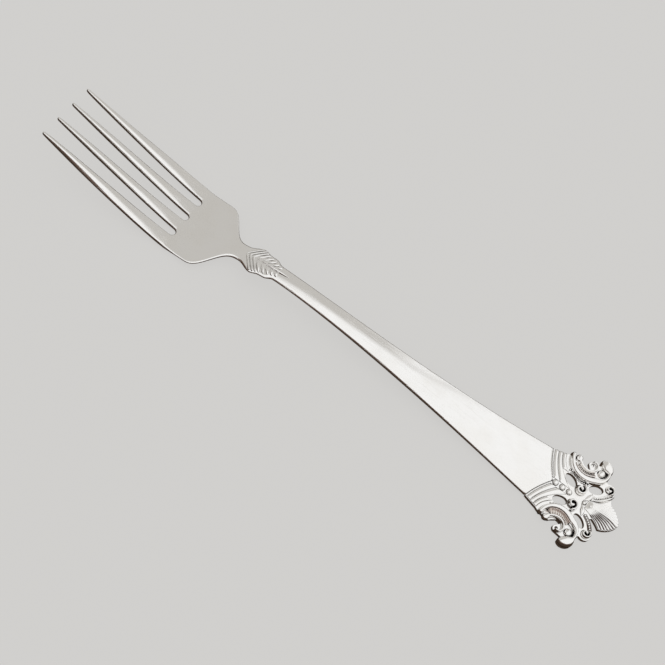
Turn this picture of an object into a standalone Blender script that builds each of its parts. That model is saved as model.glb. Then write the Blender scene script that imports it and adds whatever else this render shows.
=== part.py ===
"""Lunch fork in silver: four tines, a root, a flaring stem and a pierced scroll finial.

Every piece is drawn on a flat blank that lies along +X with its back on z = 0, and is then
bent to the fork's side profile, as a smith bends the blank. Distances along the fork are
measured from the tine tips, and right is the diner's right, +Y. Units are metres.
"""

import math

import bmesh
import bpy
from mathutils import Matrix, Vector

# Lengths along the fork, one after the other from the tine tips
TINE_LENGTH = 0.0394
ROOT_LENGTH = 0.0066
SHOULDER_LENGTH = 0.0098
COLLAR_LENGTH = 0.0112
STEM_LENGTH = 0.0813
VEE_DEPTH = 0.0040
PALMETTE_LENGTH = 0.0095

# Widths in plan
TINE_TIP_PITCH = 0.0059
TINE_TIP_WIDTH = 0.0006
SLOT_WIDTH = 0.0021
SLOT_PITCH = 0.00567
HEAD_WIDTH = 0.0213
NECK_WIDTH = 0.0051
COLLAR_SWELL = 0.0016
COLLAR_LEAD = 0.0008
COLLAR_PEAK = 0.0050
COLLAR_STEP = 0.00065
COLLAR_STEP_LENGTH = 0.0020
COLLAR_FALL_START = 0.0088
COLLAR_FALL_END = 0.0108
STEM_WIDTH = 0.0047
STEM_END_WIDTH = 0.0158

# How the widths change: powers of the distance along a tine and along the stem
INNER_TINE_TAPER = 0.82
OUTER_TINE_TAPER = 0.72
OUTER_EDGE_TAPER = 2
STEM_FLARE = 1.9
TINE_SWELL_POWER = 0.7

# Side profile: how far the back of the fork stands above the table
TIP_RISE = 0.0088
TINE_BEND = 1.17
CREST_RISE = 0.0042
BELLY_FLAT = 0.0022
CREST_PAST_COLLAR = 0.0036
LANDING = 0.0105

# Thicknesses and edges
TINE_TIP_THICKNESS = 0.0009
TINE_SWELL = 0.0006
ROOT_THICKNESS = 0.0015
NECK_THICKNESS = 0.0022
STEM_END_THICKNESS = 0.0016
PLATE_THICKNESS = 0.0011
EDGE_ROUND = 0.0004
ROOT_CROWN = 0.00015
NECK_CROWN = 0.0007
STEM_END_CROWN = 0.0001

# Border of the finial: the vee joint, then a milled wire and three reeds beside it
VEE_BOW = 0.0004
MILLED_WIDTH = 0.0006
MILLED_HEIGHT = 0.0005
REED_WIDTH = 0.00117
REED_FAN = 0.0008
REED_HEIGHT = 0.0008
SHORT_REED_START = 0.0047
EDGE_FLARE = 0.26

# Beads down the middle
BEAD_RADIUS = 0.00075
BEAD_SPACING = 0.00055
SMALL_BEAD_RADIUS = 0.0005
SMALL_BEAD_SPACING = 0.0008

# Inner volutes, a pair that faces each other across the beads
VOLUTE_RADIUS = 0.00175
VOLUTE_BAND = 0.0008
VOLUTE_HEIGHT = 0.0013
VOLUTE_BALL = 0.00045
VOLUTE_TURN = (math.radians(80), math.radians(-300))

# Big leaf scrolls: a spiral band that is drawn in to a round and ends in a lobe
ARCH_LEAD = 0.0013
ARCH_RADIUS = 0.0032
ARCH_REACH = 0.0040
ARCH_WIND_ANGLE = math.radians(115)
ARCH_TURN = (math.radians(-183), math.radians(91))
ARCH_WIDEST_ANGLE = math.radians(-75)
ARCH_START_BAND = 0.0013
ARCH_BAND = 0.0020
ARCH_NECK_BAND = 0.0011
ARCH_LOBE = 0.00125
ARCH_LOBE_LENGTH = 0.0019
ARCH_HEIGHT = 0.0016

# Rim scroll, fluted hollow and eye bead inside each leaf scroll
RIM_SETBACK = 0.0016
RIM_DROP = 0.00065
RIM_REACH = 0.0041
RIM_END = 0.0006
RIM_TURN = (math.radians(-183), math.radians(115))
RIM_BAND = 0.00075
RIM_CURL = 0.00095
RIM_BALL = 0.0005
RIM_HEIGHT = 0.0011
FLUTE_HEIGHT = 0.0007
EYE_RADIUS = 0.00105
EYE_ANGLE = math.radians(-2)

# Side volutes, on stalks beside the palmette
SIDE_VOLUTE_RADIUS = 0.0014
SIDE_VOLUTE_BAND = 0.0007
SIDE_VOLUTE_HEIGHT = 0.0012
SIDE_VOLUTE_BALL = 0.0004
SIDE_VOLUTE_ANGLE = math.radians(-27)
SIDE_VOLUTE_TURN = (math.radians(-45), math.radians(320))
STALK_LEAD = 0.0008
STALK_SPACE = 0.0015
STALK_SAG = 0.0003

# Palmette, and the holes pierced on either side of it
PALMETTE_BASE_WIDTH = 0.0022
PALMETTE_SHOULDER = 0.0029
PALMETTE_HEIGHT = 0.0014
PALMETTE_SPREAD = math.radians(26)
PIERCING_LENGTH = 0.0040
PIERCING_WIDTH = 0.0020
INNER_PIERCING = (-0.0029, 0.00125, math.radians(-25))
OUTER_PIERCING = (0.0037, 0.0026, math.radians(34))

# Collar ornament
CHEVRON_START = 0.0017
CHEVRON_PITCH = 0.00095
CHEVRON_WIDTH = 0.0006
CHEVRON_HEIGHT = 0.0004
CHEVRON_SLOPE = 0.85
COLLAR_LEAF_LENGTH = 0.0094
COLLAR_LEAF_BASE_WIDTH = 0.0018
COLLAR_LEAF_SHOULDER = 0.0048
COLLAR_LEAF_HEIGHT = 0.0006
COLLAR_LEAF_SPREAD = math.radians(24)

# Leaf form: its margin, the bend of its ribs, its crown and the depth of its grooves
MARGIN_POWER = 1.3
RIB_BEND = (0.72, 0.45)
LEAF_CROWN = (0.12, 0.86)
LEAF_FALL = 0.35
GROOVE_SHARE = 0.72
GROOVE_NOTCH = 0.025

# Half-round bar: where each point of its top lies across it, and at what share of its height
BAR_TOP = ((0, 0.45), (0.25, 0.95), (0.75, 0.95), (1, 0.45))
LOW_END = 0.5

# Stations of a tine as shares of its length, and how blunt its point and corners are
TINE_STATIONS = (0, 0.008, 0.03, 0.07, 0.14, 0.24, 0.36, 0.48, 0.6, 0.7, 0.8, 0.9, 1)
TINE_BLUNT = 0.45
TINE_FLAT_START = 0.7
TINE_FLAT = 0.75
CROWN_SPAN = 0.75

# Section of a tine: places across it, with the heights of its back and its top as shares of the thickness
TINE_PROFILE = (
    (0, 0.26, 0.58), (0.12, 0.05, 0.84), (0.3, 0, 0.97), (0.5, 0, 1),
    (0.7, 0, 0.97), (0.88, 0.05, 0.84), (1, 0.26, 0.58),
)

# Fluted hollow: the stretch of each scroll it fills, its valleys and its trough
FLUTE_RIM_SHARES = (0.17, 0.46)
FLUTE_LEAF_SHARES = (0.13, 0.39)
FLUTE_VALLEY = 0.6
FLUTE_TROUGH = 0.65

# Ground of the finial: the stretches of the ornament that its edge follows, in shares and in degrees
CURL_SHARE = 0.09
CURL_ARC = (125, 25)
BAY_SHARES = (0.24, 0.36)
RIM_EYE_ARC = (190, 95)
LOBE_SHARES = (0.97, 0.99)
LEAF_EDGE_SHARES = (0.995, 0.62)
SIDE_VOLUTE_ARC = (120, -45)

# Counts and clearances
TINES = 4
BEADS = 3
REEDS = ("milled_wire", "plain_wire", "inner_wire", "short_wire")
CHEVRONS = 3
FLUTES = 9
PALMETTE_RIBS = 13
COLLAR_LEAF_RIBS = 5
SEAM = 0.00005
ORNAMENT_GAP = 0.00015

# Stations along the fork
ROOT_END = TINE_LENGTH + ROOT_LENGTH
COLLAR_START = ROOT_END + SHOULDER_LENGTH
COLLAR_END = COLLAR_START + COLLAR_LENGTH
VEE_EDGE = COLLAR_END + STEM_LENGTH
VEE_TIP = VEE_EDGE + VEE_DEPTH
BELLY_START = TINE_LENGTH
BELLY_END = BELLY_START + BELLY_FLAT
CREST = COLLAR_END + CREST_PAST_COLLAR

# Places on the finial's middle line, each found from its neighbours' sizes
BEAD_PITCH = 2 * BEAD_RADIUS + BEAD_SPACING
FIRST_BEAD = VEE_TIP + BEAD_RADIUS + ORNAMENT_GAP
LAST_BEAD = FIRST_BEAD + (BEADS - 1) * BEAD_PITCH
VOLUTE_OUT = VOLUTE_RADIUS + VOLUTE_BAND / 2
VOLUTE_Y = VOLUTE_OUT + ORNAMENT_GAP
VOLUTE_X = LAST_BEAD + math.sqrt((VOLUTE_OUT + BEAD_RADIUS + ORNAMENT_GAP) ** 2 - VOLUTE_Y**2)
SMALL_BEAD_REACH = VOLUTE_OUT + SMALL_BEAD_RADIUS + SMALL_BEAD_SPACING
SMALL_BEAD_X = VOLUTE_X + math.sqrt(SMALL_BEAD_REACH**2 - VOLUTE_Y**2)
PALMETTE_X = SMALL_BEAD_X + SMALL_BEAD_RADIUS + ORNAMENT_GAP
LENGTH = PALMETTE_X + PALMETTE_LENGTH


def ease(u):
    """From 0 to 1 with level ends."""
    u = min(max(u, 0.0), 1.0)
    return u * u * (3 - 2 * u)


def sweep_ease(u):
    """As ease, but tighter at the ends: the sweep of the fork's shoulders."""
    u = min(max(u, 0.0), 1.0)
    return u**3 * (u * (6 * u - 15) + 10)


def mix(a, b, u):
    return a + (b - a) * u


def spaced(start, end, steps):
    """Evenly spaced values from start to end, both included."""
    return [mix(start, end, step / steps) for step in range(steps + 1)]


def polar(x, y, radius, angle):
    return x + radius * math.cos(angle), y + radius * math.sin(angle)


# The blank: its side profile, thickness and plan


def descent(x):
    """From 1 at the crest of the neck down along the stem, on a curve that aims past the stem's end."""
    return 1 - ease((x - CREST) / (VEE_EDGE + LANDING - CREST))


def rise(x):
    """Height of the fork's back above the table; the finial lies flat on it."""
    if x < BELLY_START:
        return TIP_RISE * (1 - x / BELLY_START) ** TINE_BEND
    if x < CREST:
        return CREST_RISE * ease((x - BELLY_END) / (CREST - BELLY_END))
    end = descent(VEE_EDGE)
    return CREST_RISE * max(descent(x) - end, 0) / (1 - end)


def thickness(x):
    if x < TINE_LENGTH:
        u = x / TINE_LENGTH
        swell = TINE_SWELL * math.sin(math.pi * u**TINE_SWELL_POWER)
        return mix(TINE_TIP_THICKNESS, ROOT_THICKNESS, u) + swell
    if x < CREST:
        return mix(ROOT_THICKNESS, NECK_THICKNESS, ease((x - ROOT_END) / (COLLAR_START - ROOT_END)))
    return mix(NECK_THICKNESS, STEM_END_THICKNESS, ease((x - CREST) / (VEE_EDGE - CREST)))


def crown(x):
    """How far the top falls from the middle of the root, neck or stem to its edges."""
    if x < CREST:
        return mix(ROOT_CROWN, NECK_CROWN, ease((x - ROOT_END) / (COLLAR_START - ROOT_END)))
    return mix(NECK_CROWN, STEM_END_CROWN, ease((x - CREST) / (VEE_EDGE - CREST)))


def body_top(x, y):
    """Height of the top of the root, neck or stem above its back."""
    return thickness(x) - crown(x) * (y / half_width(x)) ** 2


def half_width(x):
    """Half the width of the root, neck and stem."""
    if x < COLLAR_END:
        along = x - COLLAR_START
        shoulder = sweep_ease((x - ROOT_END) / SHOULDER_LENGTH)
        neck = mix(NECK_WIDTH, STEM_WIDTH, ease(along / COLLAR_LENGTH))
        swell = COLLAR_SWELL * ease((along - COLLAR_LEAD) / (COLLAR_PEAK - COLLAR_LEAD))
        swell -= COLLAR_STEP * ease((along - COLLAR_PEAK) / COLLAR_STEP_LENGTH)
        swell *= 1 - ease((along - COLLAR_FALL_START) / (COLLAR_FALL_END - COLLAR_FALL_START))
        return mix(HEAD_WIDTH, neck, shoulder) / 2 + swell
    flare = (x - COLLAR_END) / STEM_LENGTH
    return mix(STEM_WIDTH, STEM_END_WIDTH, flare**STEM_FLARE) / 2


def vee(y):
    """Where the plain stem ends, in the pointed joint that takes the finial."""
    u = 2 * abs(y) / STEM_END_WIDTH
    return VEE_TIP - VEE_DEPTH * u - 4 * VEE_BOW * u * (1 - u)


# Shared modelling steps


def silver(name, colour, roughness):
    material = bpy.data.materials.new(name)
    material.use_nodes = True
    shader = material.node_tree.nodes["Principled BSDF"]
    shader.inputs["Base Color"].default_value = (*colour, 1)
    shader.inputs["Metallic"].default_value = 1
    shader.inputs["Roughness"].default_value = roughness
    return material


def extrude_ring(bm, ring):
    """Extrude a closed ring of vertices and return the new ring in the same order."""
    edges = [bm.edges.get(pair) for pair in zip(ring, ring[1:] + ring[:1])]
    made = bmesh.ops.extrude_edge_only(bm, edges=edges)["geom"]
    fresh = {item for item in made if isinstance(item, bmesh.types.BMVert)}
    return [next(e.other_vert(v) for e in v.link_edges if e.other_vert(v) in fresh) for v in ring]


def loft(sections):
    """A solid through a row of rings, each a list of points, closed across both end rings.

    The first half of a ring runs along its underside and the second half back along its top,
    so rungs between the two close even an end that isn't flat.
    """
    bm = bmesh.new()
    first = [bm.verts.new(point) for point in sections[0]]
    for pair in zip(first, first[1:] + first[:1]):
        bm.edges.new(pair)
    ring = first
    for section in sections[1:]:
        ring = extrude_ring(bm, ring)
        for vertex, point in zip(ring, section):
            vertex.co = point
    for end in (first, ring):
        for low in range(len(end) // 2 - 1):
            high = len(end) - 1 - low
            bm.faces.new([end[low], end[low + 1], end[high - 1], end[high]])
    return bm


def raise_from_flat(bm):
    """Close an open relief by walls down to a flat underside on z = 0."""
    made = bmesh.ops.extrude_face_region(bm, geom=bm.faces[:])["geom"]
    for item in made:
        if isinstance(item, bmesh.types.BMVert):
            item.co.z = 0


def bar(right, left, heights):
    """A half-round bar with a flat underside between two edges in plan."""
    sections = []
    for a, b, height in zip(right, left, heights):
        across = [(mix(a[0], b[0], share), mix(a[1], b[1], share)) for share, _ in BAR_TOP]
        top = [(x, y, height * lift) for (x, y), (_, lift) in zip(across, BAR_TOP)]
        sections.append([(x, y, 0) for x, y in across] + top[::-1])
    return loft(sections)


def sides(path, halves):
    """The two edges in plan of a bar along a path, the one right of its direction first."""
    right, left = [], []
    for i, (x, y) in enumerate(path):
        along = Vector(path[min(i + 1, len(path) - 1)]) - Vector(path[max(i - 1, 0)])
        across = Vector((-along.y, along.x)).normalized() * halves[i]
        right.append((x - across.x, y - across.y))
        left.append((x + across.x, y + across.y))
    return right, left


def along_edge(edge, u):
    """The point at share u of a row of points."""
    place_in_row = u * (len(edge) - 1)
    i = min(int(place_in_row), len(edge) - 2)
    return tuple(mix(a, b, place_in_row - i) for a, b in zip(edge[i], edge[i + 1]))


def with_round_ends(path, widths, start, end):
    """Half widths along a path whose ends are balls, each given by its radius and its half length."""
    lengths = [0.0]
    for a, b in zip(path, path[1:]):
        lengths.append(lengths[-1] + math.dist(a, b))
    halves = []
    for done, width in zip(lengths, widths):
        half = width / 2
        for distance, (radius, reach) in ((done, start), (lengths[-1] - done, end)):
            from_ball = min((distance + SEAM) / reach - 1, 1)
            ball = radius * math.sqrt(1 - from_ball**2)
            half = ball if distance < reach else max(half, ball)
        halves.append(half)
    return halves


def scroll_heights(halves, height):
    """Height along a scroll: the full height, less where it narrows to an end."""
    widest = max(halves)
    return [height * mix(LOW_END, 1, ease(2 * half / widest)) for half in halves]


def spiral(x, y, turn, radius_start, radius_end, steps):
    """A volute's curve: each step draws the radius in by the same share."""
    shrink = radius_end / radius_start
    return [
        polar(x, y, radius_start * shrink ** (step / steps), mix(*turn, step / steps))
        for step in range(steps + 1)
    ]


def arc(x, y, radius, start, end, steps):
    return [polar(x, y, radius, angle) for angle in spaced(math.radians(start), math.radians(end), steps)]


def dome(x, y, radius):
    bm = bmesh.new()
    bmesh.ops.create_uvsphere(bm, u_segments=14, v_segments=8, radius=radius)
    lower = [v for v in bm.verts if v.co.z < -radius / 10]
    bmesh.ops.delete(bm, geom=lower, context="VERTS")
    bmesh.ops.holes_fill(bm, edges=bm.edges)
    bmesh.ops.translate(bm, verts=bm.verts, vec=(x, y, 0))
    return bm


def leaf_margin(x, base_width, length, shoulder, spread, side):
    """Point of a leaf's margin; side runs from -1 at its left shoulder to 1 at its right."""
    start = base_width / 2 / math.tan(spread)
    reach = start + length - shoulder * abs(side) ** MARGIN_POWER
    return polar(x - start, 0, reach, side * spread)


def leaf(x, base_width, length, shoulder, spread, ribs, height):
    """A leaf whose ribs leave its base along the fork and bend out to its margin, with grooves between."""
    rows, columns = 7, 2 * ribs
    bm = bmesh.new()
    bmesh.ops.create_grid(bm, x_segments=columns, y_segments=rows - 1, size=1)
    for vertex in bm.verts:
        side = vertex.co.x
        u = (vertex.co.y + 1) / 2
        on_rib = round((side + 1) / 2 * columns) % 2
        foot = (x, side * base_width / 2)
        notch = 0 if on_rib else GROOVE_NOTCH * length
        tip = leaf_margin(x, base_width, length - notch, shoulder, spread, side)
        bend = [mix(a, b, share) for a, b, share in zip(foot, tip, RIB_BEND)]
        spot = [mix(mix(a, b, u), mix(b, c, u), u) for a, b, c in zip(foot, bend, tip)]
        crown = math.sin(math.pi * mix(*LEAF_CROWN, u)) * (1 - LEAF_FALL * side**2)
        vertex.co = (*spot, height * crown * (1 if on_rib else GROOVE_SHARE))
    raise_from_flat(bm)
    return bm


def place(name, bm, material, seat=None, side=1):
    """Bend a piece drawn on the blank, and add it as an object.

    seat lifts the piece onto what carries it, and side is -1 for the left one of a pair.
    """
    for vertex in bm.verts:
        vertex.co.y *= side
        if seat:
            vertex.co.z += seat(vertex.co.x, vertex.co.y) + SEAM
        vertex.co.z += rise(vertex.co.x)
    bmesh.ops.recalc_face_normals(bm, faces=bm.faces)
    if bm.calc_volume(signed=True) < 0:
        bmesh.ops.reverse_faces(bm, faces=bm.faces)
    mesh = bpy.data.meshes.new(name)
    bm.to_mesh(mesh)
    bm.free()
    mesh.materials.append(material)
    mesh.shade_smooth()
    mesh.set_sharp_from_angle(angle=math.radians(40))
    piece = bpy.data.objects.new(name, mesh)
    bpy.context.scene.collection.objects.link(piece)
    piece.parent = blank
    return piece


def on_plate(x, y):
    return PLATE_THICKNESS


# Tines and stem


def tine_section(x, left, right, top, flat):
    """Section of a tine: a flat back with soft corners under a top that is rounded, or flat at the root."""
    lower = [(x, mix(left, right, share), top * low) for share, low, high in TINE_PROFILE]
    upper = [(x, mix(left, right, share), top * mix(high, 1, flat)) for share, low, high in TINE_PROFILE]
    return lower + upper[::-1]


def tine(index):
    """A tine from its point to the level of the slots' ends."""
    centre = (index - (TINES - 1) / 2) * TINE_TIP_PITCH
    slots = [(index - TINES / 2 + side) * SLOT_PITCH for side in (0, 1)]
    base = [slots[0] + SLOT_WIDTH / 2, slots[1] - SLOT_WIDTH / 2]
    outer = [index == 0, index == TINES - 1]
    taper = OUTER_TINE_TAPER if any(outer) else INNER_TINE_TAPER
    sections = []
    for u in TINE_STATIONS:
        blunt = 1 if u else TINE_BLUNT
        edges = []
        for side, sign in enumerate((-1, 1)):
            tip = centre + sign * blunt * TINE_TIP_WIDTH / 2
            if outer[side]:
                edges.append(mix(tip, sign * HEAD_WIDTH / 2, 1 - (1 - u) ** OUTER_EDGE_TAPER))
            else:
                edges.append(mix(tip, base[side], u**taper))
        x = u * (TINE_LENGTH - SEAM)
        flat = TINE_FLAT * ease((u - TINE_FLAT_START) / (1 - TINE_FLAT_START))
        sections.append(tine_section(x, edges[0], edges[1], thickness(x), flat))
    return loft(sections)


def across_body(half):
    """Places across the root, neck or stem between its rounded edges."""
    return [EDGE_ROUND - half] + spaced(-CROWN_SPAN * half, CROWN_SPAN * half, 6) + [half - EDGE_ROUND]


def body_section(x, reach):
    """Ring of the root, neck or stem. reach gives x at each point across, for the pointed end."""
    half, c = half_width(x), EDGE_ROUND
    across = across_body(half)
    edge = body_top(x, half) - c
    outline = [(-half, c)] + [(y, 0) for y in across] + [(half, c), (half, edge)]
    outline += [(y, body_top(x, y)) for y in reversed(across)] + [(-half, edge)]
    return [(reach(y), y, z) for y, z in outline]


def stem():
    """Root, neck and stem in one forging, from the tines to the finial's pointed joint."""
    stations = [TINE_LENGTH] + spaced(BELLY_END, ROOT_END, 3)[:-1]
    stations += spaced(ROOT_END, COLLAR_START, 10) + spaced(COLLAR_START, COLLAR_END, 12)[1:]
    sections = [body_section(x, lambda y, x=x: x) for x in stations]
    for u in spaced(0, 1, 16)[1:]:
        x = mix(COLLAR_END, VEE_EDGE, u)
        sections.append(body_section(x, lambda y, u=u: mix(COLLAR_END, vee(y), u)))
    return loft(sections)


def slot_ends():
    """Round ends of the slots between the tines, as one cutter."""
    bm = bmesh.new()
    for index in range(TINES - 1):
        y = (index + 1 - TINES / 2) * SLOT_PITCH
        bmesh.ops.create_cone(
            bm, cap_ends=True, segments=24, radius1=SLOT_WIDTH / 2, radius2=SLOT_WIDTH / 2,
            depth=6 * ROOT_THICKNESS, matrix=Matrix.Translation((TINE_LENGTH, y, 0)),
        )
    cutter = place("slot_ends", bm, polished)
    cutter.hide_render = True
    cutter.display_type = "WIRE"
    return cutter


# Border of the finial


def border_line(index, y):
    """Distance from the vee joint to the line between two reeds, which fan out towards the beads."""
    if index == 0:
        return 0
    fan = (1 - min(2 * abs(y) / STEM_END_WIDTH, 1)) ** 2
    reeds = index - 1
    return MILLED_WIDTH + reeds * REED_WIDTH + reeds**2 * REED_FAN * fan


def border_edge(index):
    """Where a line of the border reaches the side of the finial."""
    y = STEM_END_WIDTH / 2
    return y + EDGE_FLARE * border_line(index, y)


def reed(index):
    """One wire of the border, from the beads to the side; the last one starts further out."""
    last = index == len(REEDS) - 1
    inner = SHORT_REED_START if last else BEAD_RADIUS + ORNAMENT_GAP
    edges = []
    for line, inset in ((index, ORNAMENT_GAP / 2), (index + 1, -ORNAMENT_GAP / 2)):
        across = spaced(inner, border_edge(line) - ORNAMENT_GAP, 12)
        edges.append([(vee(y) + border_line(line, y) + inset, y) for y in across])
    height = REED_HEIGHT if index else MILLED_HEIGHT
    return bar(edges[0], edges[1], [height] * len(edges[0]))


# Scrolls of the finial


def arch_radius(angle):
    return ARCH_RADIUS + ARCH_REACH * (1 - ease((angle - ARCH_TURN[0]) / ARCH_WIND_ANGLE))


def arch_width(angle):
    swell = ease((angle - ARCH_TURN[0]) / (ARCH_WIDEST_ANGLE - ARCH_TURN[0]))
    neck = ease((angle - ARCH_WIDEST_ANGLE) / (EYE_ANGLE - ARCH_WIDEST_ANGLE))
    return mix(mix(ARCH_START_BAND, ARCH_BAND, swell), ARCH_NECK_BAND, neck)


def arch_sides(x, y):
    """Outer and inner edge of a leaf scroll about x, y, and its half widths."""
    angles = spaced(*ARCH_TURN, 44)
    path = [polar(x, y, arch_radius(angle), angle) for angle in angles]
    start = ARCH_START_BAND / 2
    halves = with_round_ends(
        path, [arch_width(angle) for angle in angles], (start, start), (ARCH_LOBE, ARCH_LOBE_LENGTH)
    )
    return (*sides(path, halves), halves)


# The leaf scroll's outer edge comes just clear of the inner volute
ARCH_CROWN = max(-y for x, y in arch_sides(0, 0)[0])
ARCH_X = VOLUTE_X + ARCH_LEAD
ARCH_Y = VOLUTE_Y + VOLUTE_OUT + ORNAMENT_GAP + ARCH_CROWN
ARCH_OUTER, ARCH_INNER, ARCH_HALVES = arch_sides(ARCH_X, ARCH_Y)
RIM_X = ARCH_X - RIM_SETBACK
RIM_Y = ARCH_Y + RIM_DROP
EYE_REACH = arch_radius(EYE_ANGLE) - arch_width(EYE_ANGLE) / 2 - ORNAMENT_GAP - EYE_RADIUS
EYE_X, EYE_Y = polar(ARCH_X, ARCH_Y, EYE_REACH, EYE_ANGLE)
SIDE_VOLUTE_OUT = SIDE_VOLUTE_RADIUS + SIDE_VOLUTE_BAND / 2
SIDE_VOLUTE_REACH = arch_radius(SIDE_VOLUTE_ANGLE) + arch_width(SIDE_VOLUTE_ANGLE) / 2
SIDE_VOLUTE_REACH += ORNAMENT_GAP + SIDE_VOLUTE_OUT
SIDE_VOLUTE_X, SIDE_VOLUTE_Y = polar(ARCH_X, ARCH_Y, SIDE_VOLUTE_REACH, SIDE_VOLUTE_ANGLE)


def scroll(path, band, end_ball, height):
    """A bar of one width along a path, with a plain round start and a ball at its end."""
    halves = with_round_ends(path, [band] * len(path), (band / 2, band / 2), (end_ball, end_ball))
    return bar(*sides(path, halves), scroll_heights(halves, height))


def rim_sides():
    path = spiral(RIM_X, RIM_Y, RIM_TURN, RIM_REACH, RIM_END, 36)
    halves = with_round_ends(path, [RIM_BAND] * len(path), (RIM_CURL, RIM_CURL), (RIM_BALL, RIM_BALL))
    return (*sides(path, halves), halves)


def flutes():
    """Fluted hollow between the leaf scroll and the rim scroll."""
    outer = rim_sides()[0]
    sections = []
    for step in range(2 * FLUTES + 1):
        u = step / (2 * FLUTES)
        near = Vector(along_edge(outer, mix(*FLUTE_RIM_SHARES, u)))
        far = Vector(along_edge(ARCH_INNER, mix(*FLUTE_LEAF_SHARES, u)))
        inset = (far - near).normalized() * 1.5 * ORNAMENT_GAP
        near, far = near + inset, far - inset
        middle = (near + far) / 2
        crest = FLUTE_HEIGHT * (1 if step % 2 else FLUTE_VALLEY)
        top = [(*far, crest), (*middle, FLUTE_TROUGH * crest), (*near, crest)]
        sections.append([(*near, 0), (*middle, 0), (*far, 0)] + top)
    return loft(sections)


def volute_path():
    return spiral(VOLUTE_X, VOLUTE_Y, VOLUTE_TURN, VOLUTE_RADIUS, VOLUTE_BALL + VOLUTE_BAND / 4, 30)


def side_volute_path():
    """A stalk that rises beside the palmette and rolls into a volute."""
    curl = spiral(
        SIDE_VOLUTE_X, SIDE_VOLUTE_Y, SIDE_VOLUTE_TURN, SIDE_VOLUTE_RADIUS, SIDE_VOLUTE_BALL, 28
    )
    foot_y = PALMETTE_BASE_WIDTH / 2 + STALK_SPACE
    foot = (PALMETTE_X + STALK_LEAD, foot_y)
    stalk = []
    for u in spaced(0, 1, 8)[:-1]:
        sag = STALK_SAG * math.sin(math.pi * u)
        stalk.append((mix(foot[0], curl[0][0], u) + sag, mix(foot[1], curl[0][1], u) - sag))
    return stalk + curl


# Ground of the finial


def half_outline():
    """Edge of the finial's ground on the right, from the stem joint to the palmette's tip."""
    rim_inner = rim_sides()[1]
    curl = along_edge(spiral(RIM_X, RIM_Y, RIM_TURN, RIM_REACH, RIM_END, 36), CURL_SHARE)
    points = [(VEE_EDGE + SEAM, STEM_END_WIDTH / 2)]
    for index in range(1, len(REEDS) + 1):
        y = border_edge(index)
        points.append((vee(y) + border_line(index, y), y))
    points.append(ARCH_OUTER[1])
    points += arc(*curl, RIM_CURL, *CURL_ARC, 6)
    points += [along_edge(rim_inner, u) for u in spaced(*BAY_SHARES, 4)]
    points += arc(RIM_X, RIM_Y, RIM_END + RIM_BAND / 2, *RIM_EYE_ARC, 6)
    points += [along_edge(ARCH_INNER, u) for u in LOBE_SHARES]
    points += [along_edge(ARCH_OUTER, u) for u in spaced(*LEAF_EDGE_SHARES, 14)]
    points += arc(SIDE_VOLUTE_X, SIDE_VOLUTE_Y, SIDE_VOLUTE_OUT, *SIDE_VOLUTE_ARC, 8)
    for side in spaced(1, 0, 7):
        points.append(
            leaf_margin(
                PALMETTE_X, PALMETTE_BASE_WIDTH, PALMETTE_LENGTH, PALMETTE_SHOULDER, PALMETTE_SPREAD, side
            )
        )
    return points


def piercing(place_and_turn, side):
    """An oval hole, placed from the middle of the inner volute."""
    along, aside, turn = place_and_turn
    oval = []
    for step in range(16):
        a, b = polar(0, 0, 1, 2 * math.pi * step / 16)
        a, b = a * PIERCING_LENGTH / 2, b * PIERCING_WIDTH / 2
        x = VOLUTE_X + along + a * math.cos(turn) - b * math.sin(turn)
        y = VOLUTE_Y + aside + a * math.sin(turn) + b * math.cos(turn)
        oval.append((x, side * y))
    return oval


def finial_plate():
    """The pierced ground that carries the ornament and takes the stem in its notch."""
    right = half_outline()
    left = [(x, -y) for x, y in reversed(right[:-1])]
    notch = [(vee(y) + SEAM, y) for y in across_body(STEM_END_WIDTH / 2)]
    loops = [right + left + notch]
    loops += [piercing(hole, side) for side in (1, -1) for hole in (INNER_PIERCING, OUTER_PIERCING)]
    bm = bmesh.new()
    for loop in loops:
        ring = [bm.verts.new((x, y, PLATE_THICKNESS)) for x, y in loop]
        for pair in zip(ring, ring[1:] + ring[:1]):
            bm.edges.new(pair)
    bmesh.ops.triangle_fill(bm, use_beauty=True, use_dissolve=False, edges=bm.edges[:])
    raise_from_flat(bm)
    return bm


# Collar


def chevron(index):
    """A reed bent to a vee across the neck, with its point towards the tines."""
    apex = COLLAR_START + CHEVRON_START + index * CHEVRON_PITCH
    blunt = CHEVRON_WIDTH / 2
    path = []
    for y in spaced(0, HEAD_WIDTH / 2, 40):
        x = apex + CHEVRON_SLOPE * (math.hypot(y, blunt) - blunt)
        if y > half_width(x) - EDGE_ROUND - ORNAMENT_GAP:
            break
        path.append((x, y))
    path = [(x, -y) for x, y in path[:0:-1]] + path
    halves = [CHEVRON_WIDTH / 2] * len(path)
    return bar(*sides(path, halves), [CHEVRON_HEIGHT] * len(path))


# The whole fork

for item in list(bpy.data.objects):
    bpy.data.objects.remove(item)

polished = silver("polished_silver", (0.86, 0.85, 0.82), 0.16)
relief = silver("relief_silver", (0.82, 0.80, 0.76), 0.22)
darkened = silver("darkened_silver", (0.30, 0.26, 0.21), 0.34)

blank = bpy.data.objects.new("lunch_fork", None)
blank.location = (-LENGTH / 2, 0, 0)
bpy.context.scene.collection.objects.link(blank)

for number in range(TINES):
    place(f"tine_{number + 1}", tine(number), polished)

forging = place("stem", stem(), polished)
cut = forging.modifiers.new("slot ends", "BOOLEAN")
cut.operation = "DIFFERENCE"
cut.object = slot_ends()

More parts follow.
